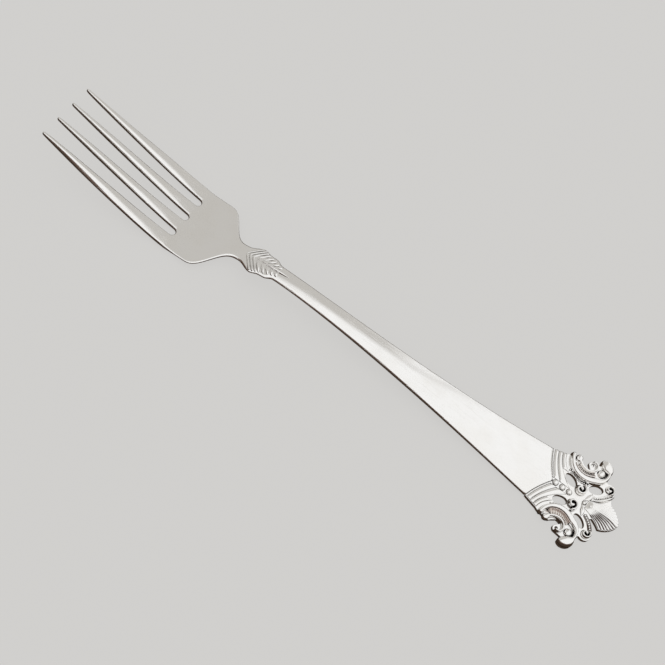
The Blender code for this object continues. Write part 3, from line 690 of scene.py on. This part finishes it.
def add_bar(bm, right, left, heights, flatness=2.8):
    """Add a rounded bar between two edges in plan, sunk a little in the ground."""
    ring = set(bmesh.ops.create_circle(bm, segments=BAR_SIDES, radius=1)["verts"])
    bmesh.ops.rotate(bm, verts=list(ring), matrix=Matrix.Rotation(math.pi / 2, 3, "X"))
    for vertex in ring:
        vertex.co.z = math.copysign(1 - abs(vertex.co.x) ** flatness, vertex.co.z)
    first = ring
    made = set(ring)
    last = Matrix.Identity(4)
    for number, (a, b, height) in enumerate(zip(right, left, heights)):
        middle = (Vector(a) + Vector(b)) / 2
        across = (Vector(b) - Vector(a)) / 2
        here = Matrix.Diagonal((1, 1, height, 1))
        here.col[0].xy = across
        here.col[1].xy = (-across.y, across.x)
        here.col[3].xy = middle
        if number:
            ring = new_ring(bm, ring)
            made |= ring
        bmesh.ops.transform(bm, matrix=here @ last.inverted(), verts=list(ring))
        last = here
    for end in (first, ring):
        rim = {edge for vertex in end for edge in vertex.link_edges if edge.is_boundary}
        bmesh.ops.contextual_create(bm, geom=list(rim))
    lift = bm.verts.layers.float["lift"]
    for vertex in made:
        vertex[lift] = max(vertex.co.z, 0) / max(heights)
        vertex.co.z = max(vertex.co.z, -SUNK)


def add_bead(bm, x, y, radius, z=0.0, detail=20):
    """Add a bead: the upper part of a ball, sunk in its ground."""
    place = Matrix.Translation((x, y, z))
    ball = bmesh.ops.create_uvsphere(
        bm, u_segments=detail, v_segments=detail // 2, radius=radius, matrix=place
    )["verts"]
    lift = bm.verts.layers.float["lift"]
    for vertex in ball:
        vertex[lift] = max((vertex.co.z - z) / radius, 0)
        vertex.co.z = max(vertex.co.z, z - SUNK)


def add_shade_disc(bm, x, y, radius):
    """Add a thin disc of ground painted with shade inside a curl or around a bead."""
    place = Matrix.Translation((x, y, -SHADE_DISC_DROP))
    disc = bmesh.ops.create_cone(
        bm, cap_ends=True, segments=32, radius1=radius, radius2=radius, depth=0.00024, matrix=place
    )["verts"]
    lift = bm.verts.layers.float["lift"]
    for vertex in disc:
        vertex[lift] = 0


def sides_of(path, halves):
    """The right and the left edge in plan of a bar along a path."""
    right, left = [], []
    for i, (x, y) in enumerate(path):
        along = Vector(path[min(i + 1, len(path) - 1)]) - Vector(path[max(i - 1, 0)])
        across = Vector((-along.y, along.x)).normalized() * halves[i]
        right.append((x - across.x, y - across.y))
        left.append((x + across.x, y + across.y))
    return right, left


def along_edge(edge, u):
    """The point at share u of a row of points."""
    at = u * (len(edge) - 1)
    i = min(int(at), len(edge) - 2)
    return between(edge[i], edge[i + 1], at - i)


def with_round_ends(path, widths, start, end, end_reach=None):
    """Half widths along a path with a ball at each end, and the shares of height left there."""
    lengths = [0.0]
    for a, b in zip(path, path[1:]):
        lengths.append(lengths[-1] + math.dist(a, b))
    halves, shares = [], []
    for done, width in zip(lengths, widths):
        half, share = width / 2, 1.0
        left = lengths[-1] - done
        for distance, radius, reach in ((done, start, start), (left, end, end_reach or end)):
            from_ball = min((distance + 0.00002) / reach - 1, 1)
            ball = math.sqrt(1 - from_ball**2)
            half = radius * ball if distance < reach else max(half, radius * ball)
            share = min(share, ball) if distance < reach else share
        halves.append(half)
        shares.append(share)
    return halves, shares


def even_band(path, width, end_ball):
    """Half widths and shares of height of an even band that ends in a ball."""
    return with_round_ends(path, [width] * len(path), width / 2, end_ball)


def bar_heights(shares, height):
    return [height * mix(0.12, 1, share) for share in shares]


def add_lobe(bm, start, end, half, height, sag=0.0):
    """Add a small leaf: a bar with pointed ends, widest past its middle, that sags to its right."""
    along = (Vector(end) - Vector(start)).normalized()
    path, shares = [], []
    for u in spaced(0, 1, 20):
        shares.append(max(math.sin(math.pi * u**1.3), 0.12) ** 0.7)
        aside = sag * math.sin(math.pi * u)
        x, y = between(start, end, u)
        path.append((x + aside * along.y, y - aside * along.x))
    halves = [half * share for share in shares]
    add_bar(bm, *sides_of(path, halves), bar_heights(shares, height))


def spiral(x, y, start, end, radius_start, radius_end, steps):
    """A volute's curve, which draws in by the same share at each step; equal radii make an arc."""
    shrink = radius_end / radius_start
    points = []
    for u in spaced(0, 1, steps):
        points.append(polar(x, y, radius_start * shrink**u, math.radians(mix(start, end, u))))
    return points


def seat(bm, ground, side=1):
    """Move a piece from the flat blank onto the bent fork; side -1 mirrors it to the left."""
    for vertex in bm.verts:
        x, y, z = vertex.co
        vertex.co = (x - LENGTH / 2, side * y, z + ground(x, y) + rise(x))


def on_plate(x, y):
    return PLATE_TOP


def brighten(bm, least, painted_light=0):
    """Raise the lift in the recesses to thin painted shade, or past 1 all over as painted light."""
    lift = bm.verts.layers.float["lift"]
    for vertex in bm.verts:
        vertex[lift] = mix(least, 1, vertex[lift]) + painted_light


def relief_piece(name, bm, node, side=1, ground=on_plate):
    """Seat a piece of the ornament and give it the finish with dark recesses."""
    seat(bm, ground, side)
    return add_piece(name, bm, relief, [node])


print("bars have", BAR_SIDES, "sides")

# %% [markdown]
# ## Where the finial's pieces lie
# The same chain of sizes as in the solids: each scroll and bead is placed from its neighbours.

# %% Places on the finial
BEAD = 0.00075
SMALL_BEAD = 0.0005
SMALL_BEAD_GAP = 0.0008
EYE = 0.00105
EYE_ANGLE = -2
FIRST_BEAD = VEE_TIP + BEAD + GAP
BEAD_PITCH = 0.00205
VOLUTE_RADIUS = 0.00175
VOLUTE_BAND = 0.0008
VOLUTE_OUT = VOLUTE_RADIUS + VOLUTE_BAND / 2
VOLUTE_Y = VOLUTE_OUT + GAP
VOLUTE_X = FIRST_BEAD + 2 * BEAD_PITCH + math.sqrt((VOLUTE_OUT + BEAD + GAP) ** 2 - VOLUTE_Y**2)
SMALL_BEAD_REACH = VOLUTE_OUT + SMALL_BEAD + SMALL_BEAD_GAP
SMALL_BEAD_X = VOLUTE_X + math.sqrt(SMALL_BEAD_REACH**2 - VOLUTE_Y**2)
PALMETTE_X = SMALL_BEAD_X + SMALL_BEAD + GAP
PALMETTE_LENGTH = LENGTH - PALMETTE_X
PALMETTE_BASE = 0.0022
SCROLL_START = -183
SCROLL_END = 91
SCROLL_RADIUS = 0.0032
SCROLL_REACH = 0.0040
SCROLL_FOOT = 0.0013
SCROLL_BELLY = 0.0020
SCROLL_WAIST = 0.0011
SCROLL_BALL = 0.00065
SCROLL_LOBE = 0.00149
LOBE_REACH = 0.0021


def leaf_scroll_radius(angle):
    """Radius of a leaf scroll, which winds in to a round and a little further at its lobe."""
    wound = ease((angle - SCROLL_START) / 115)
    return SCROLL_RADIUS + SCROLL_REACH * (1 - wound) - 0.00025 * ease((angle - 20) / 60)


def leaf_scroll_width(angle):
    """Width of a leaf scroll, which swells and then narrows before its lobe."""
    wide = mix(SCROLL_FOOT, SCROLL_BELLY, ease((angle - SCROLL_START) / 108))
    return mix(wide, SCROLL_WAIST, ease((angle + 75) / 73))


def leaf_scroll_edges(x, y):
    """Outer and inner edge of a leaf scroll about a centre, and its shares of height."""
    angles = spaced(SCROLL_START, SCROLL_END, 120)
    path = [polar(x, y, leaf_scroll_radius(angle), math.radians(angle)) for angle in angles]
    widths = [leaf_scroll_width(angle) for angle in angles]
    halves, shares = with_round_ends(path, widths, SCROLL_BALL, SCROLL_LOBE, LOBE_REACH)
    return (*sides_of(path, halves), shares)


SCROLL_X = VOLUTE_X + 0.0013
SCROLL_Y = VOLUTE_Y + VOLUTE_OUT + GAP + max(-y for x, y in leaf_scroll_edges(0, 0)[0])
SCROLL_OUTER, SCROLL_INNER, SCROLL_SHARES = leaf_scroll_edges(SCROLL_X, SCROLL_Y)
EYE_REACH = leaf_scroll_radius(EYE_ANGLE) - leaf_scroll_width(EYE_ANGLE) / 2 - GAP - EYE
EYE_X, EYE_Y = polar(SCROLL_X, SCROLL_Y, EYE_REACH, math.radians(EYE_ANGLE))
print("leaf scroll about", SCROLL_X, SCROLL_Y)

# %% Places of the rim scroll and the side volute
RIM_STEPS = 110
RIM_BALL = 0.00095
RIM_END_BALL = 0.00036
RIM_EYE = 0.000975
SIDE_ANGLE = -27
SIDE_RADIUS = 0.0014
STALK_WIDTH = 0.0007
STALK_STEPS = 30
STALK_SAG = 0.0003

RIM_X, RIM_Y = SCROLL_X - 0.0016, SCROLL_Y + 0.00065
RIM_PATH = spiral(RIM_X, RIM_Y, -183, 115, 0.0041, 0.0006, RIM_STEPS)
RIM_WIDTHS = [mix(0.00075, 0.00045, ease((u - 0.55) / 0.45)) for u in spaced(0, 1, RIM_STEPS)]
RIM_HALVES, RIM_SHARES = with_round_ends(RIM_PATH, RIM_WIDTHS, RIM_BALL, RIM_END_BALL)
RIM_OUTER, RIM_INNER = sides_of(RIM_PATH, RIM_HALVES)
SIDE_OUT = SIDE_RADIUS + STALK_WIDTH / 2
SIDE_REACH = leaf_scroll_radius(SIDE_ANGLE) + leaf_scroll_width(SIDE_ANGLE) / 2 + GAP + SIDE_OUT
SIDE_X, SIDE_Y = polar(SCROLL_X, SCROLL_Y, SIDE_REACH, math.radians(SIDE_ANGLE))
SIDE_CURL = spiral(SIDE_X, SIDE_Y, -45, 380, SIDE_RADIUS, 0.0003, 96)
STALK_FOOT = (PALMETTE_X + 0.0008, PALMETTE_BASE / 2 + 0.0015)
STALK = []
for u in spaced(0, 1, STALK_STEPS)[:-1]:
    sag = STALK_SAG * math.sin(math.pi * u)
    x, y = between(STALK_FOOT, SIDE_CURL[0], u)
    STALK.append((x + sag, y - sag))
print("side volute about", SIDE_X, SIDE_Y)

# %% [markdown]
# ## Ground of the finial
# The ornament stands on a pierced ground that follows its outline. The outline and the four oval
# holes are drawn as loops of edges and filled at once, the sheet is extruded to its thickness,
# and its rims are bevelled, because a sawn and filed edge is never sharp. On the left a notch is
# sawn in between the palmette and the side volute; on the right a small leaf fills that place.

# %% Outline of the ground
SEAM = 0.00005
PALMETTE_SPREAD = math.radians(26)
PALMETTE_SHOULDER = 0.0029
NOTCH_ASIDE = 0.00065
REEDS = ("milled_wire", "plain_wire", "inner_wire", "short_wire")
MILLED_WIDTH = 0.0006
REED_WIDTH = 0.00117
REED_FAN = 0.0008
EDGE_FLARE = 0.26
HOLE_HALF = 0.0020
RIM_BEVEL = 0.00012
BRIGHT_FROM = 0.0055
BRIGHT_OVER = 0.002


def border_line(index, y):
    """Distance from the vee joint to the line between two reeds, which fan out to the beads."""
    if index == 0:
        return 0
    fan = (1 - min(abs(y) / STEM_END_HALF, 1)) ** 2
    reeds = index - 1
    return MILLED_WIDTH + reeds * REED_WIDTH + reeds**2 * REED_FAN * fan


def border_edge(index):
    return STEM_END_HALF + EDGE_FLARE * border_line(index, STEM_END_HALF)


def palmette_margin(side, length=PALMETTE_LENGTH):
    """Point of the palmette's margin; side runs from -1 at its left shoulder to 1 at its right."""
    start = PALMETTE_BASE / 2 / math.tan(PALMETTE_SPREAD)
    reach = start + length - PALMETTE_SHOULDER * abs(side) ** 1.3
    return polar(PALMETTE_X - start, 0, reach, side * PALMETTE_SPREAD)


def palmette_point(side, u, length=PALMETTE_LENGTH):
    """Point along a rib of the palmette, which bends out; u runs from its foot to the margin."""
    start = (PALMETTE_X, side * PALMETTE_BASE / 2)
    tip = palmette_margin(side, length)
    bend = (mix(start[0], tip[0], 0.72), mix(start[1], tip[1], 0.45))
    return between(between(start, bend, u), between(bend, tip, u), u)


def half_outline(notched):
    """Edge of the ground on one side, from the stem joint to the palmette's tip."""
    points = [(VEE_EDGE + SEAM, STEM_END_HALF)]
    for index in range(1, len(REEDS) + 1):
        y = border_edge(index)
        points.append((vee(y) + border_line(index, y), y))
    points.append(along_edge(SCROLL_OUTER, 0.02))
    points += spiral(*along_edge(RIM_PATH, 0.09), 125, 25, RIM_BALL, RIM_BALL, 12)
    points += [along_edge(RIM_INNER, u) for u in spaced(0.24, 0.36, 10)]
    points += spiral(RIM_X, RIM_Y, 190, 95, RIM_EYE, RIM_EYE, 12)
    points += [along_edge(SCROLL_INNER, u) for u in (0.96, 0.975, 0.99)]
    points += [along_edge(SCROLL_OUTER, u) for u in spaced(0.995, 0.62, 36)]
    points += spiral(SIDE_X, SIDE_Y, 120, -45, SIDE_OUT, SIDE_OUT, 20)
    if notched:
        stalk_side = sides_of(STALK, [NOTCH_ASIDE] * STALK_STEPS)[0]
        points += [along_edge(stalk_side, u) for u in spaced(0.94, 0.32, 10)]
        palmette_side = [palmette_point(1, u) for u in spaced(0.44, 0.96, 10)]
        points += [(x - 0.0001, y + 0.0001) for x, y in palmette_side]
    return points + [palmette_margin(side) for side in spaced(1, 0, 24)]


def piercing(along, aside, turn, half, side):
    """An oval hole, placed from the middle of the inner volute."""
    oval = []
    for phase in spaced(0, 2 * math.pi, 40)[:-1]:
        a, b = polar(0, 0, 1, phase)
        x, y = polar(VOLUTE_X + along, VOLUTE_Y + aside, HOLE_HALF * a, turn)
        x, y = polar(x, y, half * b, turn + math.pi / 2)
        oval.append((x, side * y))
    return oval


right_edge = half_outline(notched=False)
left_edge = [(x, -y) for x, y in reversed(half_outline(notched=True)[:-1])]
joint = [(vee(y) + SEAM, y) for y in spaced(-STEM_END_HALF, STEM_END_HALF, 40)[1:-1]]
loops = [right_edge + left_edge + joint]
holes = (
    (-0.0030, 0.00102, math.radians(-25), 0.00125),
    (0.00358, 0.00278, math.radians(34), 0.0012),
)
loops += [piercing(*hole, side) for side in (1, -1) for hole in holes]
print("outline of", len(loops[0]), "points and", len(loops) - 1, "holes")

# %% Make the ground
bm = new_relief()
lift = bm.verts.layers.float["lift"]
for loop in loops:
    ring = [bm.verts.new((x, y, 0)) for x, y in loop]
    for pair in zip(ring, ring[1:] + ring[:1]):
        bm.edges.new(pair)
bmesh.ops.triangle_fill(bm, use_beauty=True, edges=bm.edges[:])
bmesh.ops.translate(bm, verts=extrude_sheet(bm), vec=(0, 0, -PLATE_TOP))
bmesh.ops.recalc_face_normals(bm, faces=bm.faces)
rims = [edge for edge in bm.edges if edge.calc_face_angle(0) > math.radians(70)]
rims = [edge for edge in rims if abs(edge.verts[0].co.z - edge.verts[1].co.z) < GAP]
bmesh.ops.bevel(
    bm, geom=rims, offset=RIM_BEVEL, segments=2, profile=0.5, affect="EDGES", material=-1,
    clamp_overlap=False,
)
# The ground's lift is 1 or more, so it takes no lift-based darkening, and it rises past 1 towards
# the far side as painted light.
for vertex in bm.verts:
    vertex[lift] = 1 + ease((vertex.co.y - BRIGHT_FROM) / BRIGHT_OVER)
seat(bm, on_plate)
ground = add_piece("finial_ground", bm, relief, ["finial_plate"], smooth=False)
print("ground:", len(ground.data.polygons), "faces")

# %% [markdown]
# ## Border of reeds
# Beside the vee joint runs a fine milled wire and then three reeds, which fan out towards the
# beads. The milled wire's notches are real: every other pair of its bar's rings is drawn in.

# %% Reeds
HANDS = (("right", 1), ("left", -1))
MILLED_STEPS = 88
MILLED_HEIGHT = 0.00024
REED_STEPS = 40
REED_HEIGHT = 0.0004
SHORT_REED_START = 0.0047


def reed(index):
    """One wire of the border, from the beads to the side; the last one starts further out."""
    milled = index == 0
    steps = MILLED_STEPS if milled else REED_STEPS
    inner = SHORT_REED_START if index == len(REEDS) - 1 else BEAD + GAP
    edges = []
    for line, inset in ((index, GAP / 8), (index + 1, -GAP / 8)):
        places = spaced(inner, border_edge(line) - GAP, steps)
        edges.append([(vee(y) + border_line(line, y) + inset, y) for y in places])
    if milled:
        heights = [MILLED_HEIGHT * (1 if step % 4 < 2 else 0.4) for step in range(steps + 1)]
    else:
        shares = [ease(min(step, steps - step) / 3) for step in range(steps + 1)]
        heights = [REED_HEIGHT * mix(0.4, 1, share) for share in shares]
    bm = new_relief()
    add_bar(bm, *edges, heights)
    return bm


for hand, side in HANDS:
    for index, kind in enumerate(REEDS):
        relief_piece(f"border_{kind}_{hand}", reed(index), f"{kind}_{hand}", side)
print("border reeds:", len(HANDS) * len(REEDS))

# %% [markdown]
# ## Beads
# Three beads run down the middle from the point of the vee, a smaller one stands at the foot of
# the palmette, and a large one is the eye of each leaf scroll. Each is a ball sunk in its ground.
# The right half of the finial, on the far side, is painted lighter than the left: painted light
# thins its painted shade, here and in the scrolls.

# %% Beads
# Painted light on the far, right half of the finial; none on the near, left half.
FAR_SIDE_LIGHT = {"right": 1, "left": 0}
PEARLS = 3
SHADE_DISC_MARGIN = 0.00012


def bead_piece(name, x, y, radius, node, painted_light=0):
    """A bead with a disc of painted shade around it."""
    bm = new_relief()
    add_bead(bm, x, y, radius, detail=32)
    add_shade_disc(bm, x, y, radius + SHADE_DISC_MARGIN)
    brighten(bm, 0, painted_light)
    relief_piece(name, bm, node)


for number in range(PEARLS):
    x = FIRST_BEAD + number * BEAD_PITCH
    bead_piece(f"pearl_{number + 1}", x, 0, BEAD, f"bead_{number + 1}")
bead_piece("small_pearl", SMALL_BEAD_X, 0, SMALL_BEAD, "small_bead")
for hand, side in HANDS:
    bead_piece(f"eye_pearl_{hand}", EYE_X, side * EYE_Y, EYE, f"eye_bead_{hand}", FAR_SIDE_LIGHT[hand])
print("beads:", PEARLS + 1 + len(HANDS))

# %% [markdown]
# ## Scrolls and volutes
# A leaf scroll is a spiral band that swells, narrows and ends in a lobe. Inside it a thinner rim
# scroll curls back, with a fluted hollow between the two. Small volutes face each other across
# the beads, and a pair on beaded stalks stands beside the palmette. Fine beads edge each leaf
# scroll.

# %% Leaf scrolls, rim scrolls and inner volutes
BAND_FLATNESS = 3.5
VOLUTE_CURL = spiral(VOLUTE_X, VOLUTE_Y, 80, -380, VOLUTE_RADIUS, 0.00035, 110)
VOLUTE_HALVES, VOLUTE_SHARES = even_band(VOLUTE_CURL, VOLUTE_BAND + GAP / 3, end_ball=0.00055)
FINE_BEAD = 0.00024
FINE_ASIDE = 0.00026

for hand, side in HANDS:
    bm = new_relief()
    heights = bar_heights(SCROLL_SHARES, height=0.0016)
    add_bar(bm, SCROLL_OUTER, SCROLL_INNER, heights, BAND_FLATNESS)
    brighten(bm, 0, FAR_SIDE_LIGHT[hand])
    relief_piece(f"leaf_scroll_{hand}", bm, f"arch_scroll_{hand}", side)
    bm = new_relief()
    add_bar(bm, RIM_OUTER, RIM_INNER, bar_heights(RIM_SHARES, height=0.0012), BAND_FLATNESS)
    add_shade_disc(bm, RIM_X, RIM_Y, radius=0.00045)
    brighten(bm, 0, FAR_SIDE_LIGHT[hand])
    relief_piece(f"rim_curl_{hand}", bm, f"rim_scroll_{hand}", side)
    bm = new_relief()
    heights = bar_heights(VOLUTE_SHARES, height=0.0013)
    add_bar(bm, *sides_of(VOLUTE_CURL, VOLUTE_HALVES), heights)
    add_shade_disc(bm, VOLUTE_X, VOLUTE_Y, radius=0.00135)
    for share in spaced(0.13, 0.31, 9):
        outer = Vector(along_edge(SCROLL_OUTER, share))
        outward = outer - Vector(along_edge(SCROLL_INNER, share))
        x, y = outer + FINE_ASIDE * outward.normalized()
        add_bead(bm, x, y, FINE_BEAD, z=0.0001, detail=12)
    relief_piece(f"middle_volute_{hand}", bm, f"inner_volute_{hand}", side)
print("scrolls:", 3 * len(HANDS))

# %% Side volutes on beaded stalks
STALK_LOW = 0.06
STALK_WIDE = 1.75
STALK_BEAD = 0.00027
BLADE_FOOT = (PALMETTE_X + 0.0004, PALMETTE_BASE / 2 + 0.0005)
BLADE_TIP = (SIDE_X + 0.0019, SIDE_Y - 0.0009)

for hand, side in HANDS:
    path = STALK + SIDE_CURL
    halves, shares = even_band(path, STALK_WIDTH, end_ball=0.0005)
    heights = bar_heights(shares, height=0.0012)
    for step in range(STALK_STEPS):
        into_curl = ease((step / STALK_STEPS - 0.85) / 0.15)
        heights[step] *= mix(STALK_LOW, 1, into_curl)
        halves[step] *= mix(STALK_WIDE, 1, into_curl)
    bm = new_relief()
    add_bar(bm, *sides_of(path, halves), heights)
    for u in spaced(0.08, 0.84, 6):
        add_bead(bm, *along_edge(STALK, u), STALK_BEAD, z=0.00012, detail=12)
    brighten(bm, 0, FAR_SIDE_LIGHT[hand])
    add_shade_disc(bm, SIDE_X, SIDE_Y, radius=0.00105)
    if hand == "right":
        add_lobe(bm, BLADE_FOOT, BLADE_TIP, half=0.00048, height=0.0010, sag=0.00055)
    relief_piece(f"beaded_volute_{hand}", bm, f"side_volute_{hand}", side)
print("side volutes:", len(HANDS))

# %% Fluted hollows
FLUTES = 11
FLUTE_FLOOR = 0.0001
FLUTE_DEPTH = 0.00022
HOLLOW_RISE = 0.0014

for hand, side in HANDS:
    bm = new_relief()
    lift = bm.verts.layers.float["lift"]
    bmesh.ops.create_grid(bm, x_segments=8 * FLUTES, y_segments=10, size=0.5)
    for vertex in bm.verts:
        u, v = vertex.co.x + 0.5, vertex.co.y + 0.5
        near = Vector(along_edge(RIM_OUTER, mix(0.13, 0.46, u)))
        far = Vector(along_edge(SCROLL_INNER, mix(0.09, 0.39, u)))
        spot = near.lerp(far, v)
        ridge = abs(math.sin(math.pi * FLUTES * u))
        # Lift falls in the grooves and towards the leaf scroll, so patina and painted shade darken
        # them.
        vertex[lift] = mix(0.9, 0.12 * ridge, ease((v - 0.38) / 0.3))
        slope = HOLLOW_RISE * max((v - 0.2) / 0.8, 0) ** 1.4
        vertex.co = (*spot, FLUTE_FLOOR + slope + FLUTE_DEPTH * ridge * (1 - v**4))
    for vertex in extrude_sheet(bm):
        vertex.co.z = -SUNK
    brighten(bm, 0, FAR_SIDE_LIGHT[hand])
    seat(bm, on_plate, side)
    add_piece(f"fluted_hollow_{hand}", bm, hollow, [f"flutes_{hand}"])
print("fluted hollows:", len(HANDS))

# %% [markdown]
# ## Palmette
# The palmette at the end is a domed shell: ribs leave its foot together and bend out to a
# scalloped margin, and each rib laps over the next one out. A grid is laid along the ribs, eight
# columns to a rib, and its vertices are lifted to the dome and to the steps between the ribs. The
# lift paints dark lines of shade between the ribs on the near, left half, and painted light fades
# them out on the far, right half.

# %% Palmette with two leaves at its foot
RIBS = 13
RIB_STEP = 0.26
SCALLOP = 0.10
PALMETTE_HEIGHT = 0.0014
PALMETTE_BRIGHT = 1.5
FOOT_BEAD = 0.00036

bm = new_relief()
lift = bm.verts.layers.float["lift"]
bmesh.ops.create_grid(bm, x_segments=8 * RIBS, y_segments=28, size=1)
for vertex in bm.verts:
    side, u = vertex.co.x, (vertex.co.y + 1) / 2
    across = (abs(side) * RIBS / 2 + 0.5) % 1
    step = mix(0.5, across, ease(abs(side) * RIBS) * ease((u - 0.05) / 0.4))
    length = PALMETTE_LENGTH * (1 - SCALLOP * (across - 0.5) ** 2)
    spot = palmette_point(side, u, length)
    dome = (1 - 0.72 * side**2) * mix(0.5, 1, ease(u / 0.55)) * mix(1, 0.3, ease((u - 0.5) / 0.5))
    dome *= mix(0.25, 1, ease(u / 0.12))
    # Low lift paints shade into the grooves between the ribs; on the far, right half
    # PALMETTE_BRIGHT paints light there instead.
    open_share = ease((across - 0.3) / 0.3) * mix(1, 0.2, ease((across - 0.75) / 0.125))
    lined = mix(1, open_share, ease((u - 0.05) / 0.3))
    vertex[lift] = mix(lined, PALMETTE_BRIGHT, ease((side + 0.1) / 0.5))
    vertex.co = (*spot, PALMETTE_HEIGHT * (dome * 0.85 + RIB_STEP * (step - 0.5)))
for vertex in extrude_sheet(bm):
    vertex.co.z = -SUNK
add_bead(bm, PALMETTE_X + 0.0010, 0, FOOT_BEAD, z=0.0005, detail=16)
for side in (1, -1):
    foot = (PALMETTE_X - 0.0011, side * 0.0005)
    tip = (PALMETTE_X + 0.0002, side * 0.0034)
    add_lobe(bm, foot, tip, half=0.00065, height=0.0006, sag=side * 0.0003)
palmette = relief_piece("palmette_leaf", bm, "palmette")
print("palmette:", len(palmette.data.polygons), "faces")

# %% [markdown]
# ## Ornament of the neck
# Three reeds bent to a vee cross the neck, with their points towards the tines, and a small leaf
# follows them. Its lobes are short bars that leave the midrib at the angle of the reeds, so one
# pair after another is cut shorter towards the tip.

# %% Neck reeds
CHEVRONS = 3
CHEVRON_PITCH = 0.00095
CHEVRON_SLOPE = 0.85
CHEVRON_BEND = 0.0003
CHEVRON_WIDTH = 0.0006
NECK_MARGIN = 0.0003
# NECK_LIFT raises the lowest lift of the neck's ornament, so its lines take less patina and painted
# shade.
NECK_LIFT = 0.26
first_apex = COLLAR_START + 0.0017

for number in range(CHEVRONS):
    apex = first_apex + number * CHEVRON_PITCH
    path = []
    for y in spaced(0, 0.006, 60):
        x = apex + CHEVRON_SLOPE * (math.hypot(y, CHEVRON_BEND) - CHEVRON_BEND)
        if y > half_width(x) - NECK_MARGIN:
            break
        path.append((x, y))
    path = [(x, -y) for x, y in path[:0:-1]] + path
    halves, shares = even_band(path, CHEVRON_WIDTH, CHEVRON_WIDTH / 2)
    bm = new_relief()
    add_bar(bm, *sides_of(path, halves), bar_heights(shares, height=0.0003))
    brighten(bm, NECK_LIFT)
    relief_piece(f"collar_reed_{number + 1}", bm, f"neck_chevron_{number + 1}", ground=body_top)
print("neck reeds:", CHEVRONS)

# %% Neck leaf
LOBES = 5
LOBE_PITCH = 0.00135
LEAF_LENGTH = 0.0092
leaf_foot = first_apex + CHEVRONS * CHEVRON_PITCH + GAP

bm = new_relief()
add_lobe(bm, (leaf_foot, 0), (leaf_foot + LEAF_LENGTH, 0), half=0.0005, height=0.0005)
for number in range(LOBES):
    for side in (1, -1):
        start = (leaf_foot + 0.0001 + number * LOBE_PITCH, side * 0.00045)
        length = mix(0.0035, 0.0016, number / (LOBES - 1))
        end = polar(*start, length, side * math.atan(1 / CHEVRON_SLOPE))
        reach = half_width(end[0]) - NECK_MARGIN
        if abs(end[1]) > reach:
            end = (start[0] + (reach - abs(start[1])) * CHEVRON_SLOPE, side * reach)
        add_lobe(bm, start, end, half=0.00043, height=0.0004)
brighten(bm, NECK_LIFT)
relief_piece("collar_leaf", bm, "neck_leaf", ground=body_top)
print("neck leaf of", 2 * LOBES, "lobes")
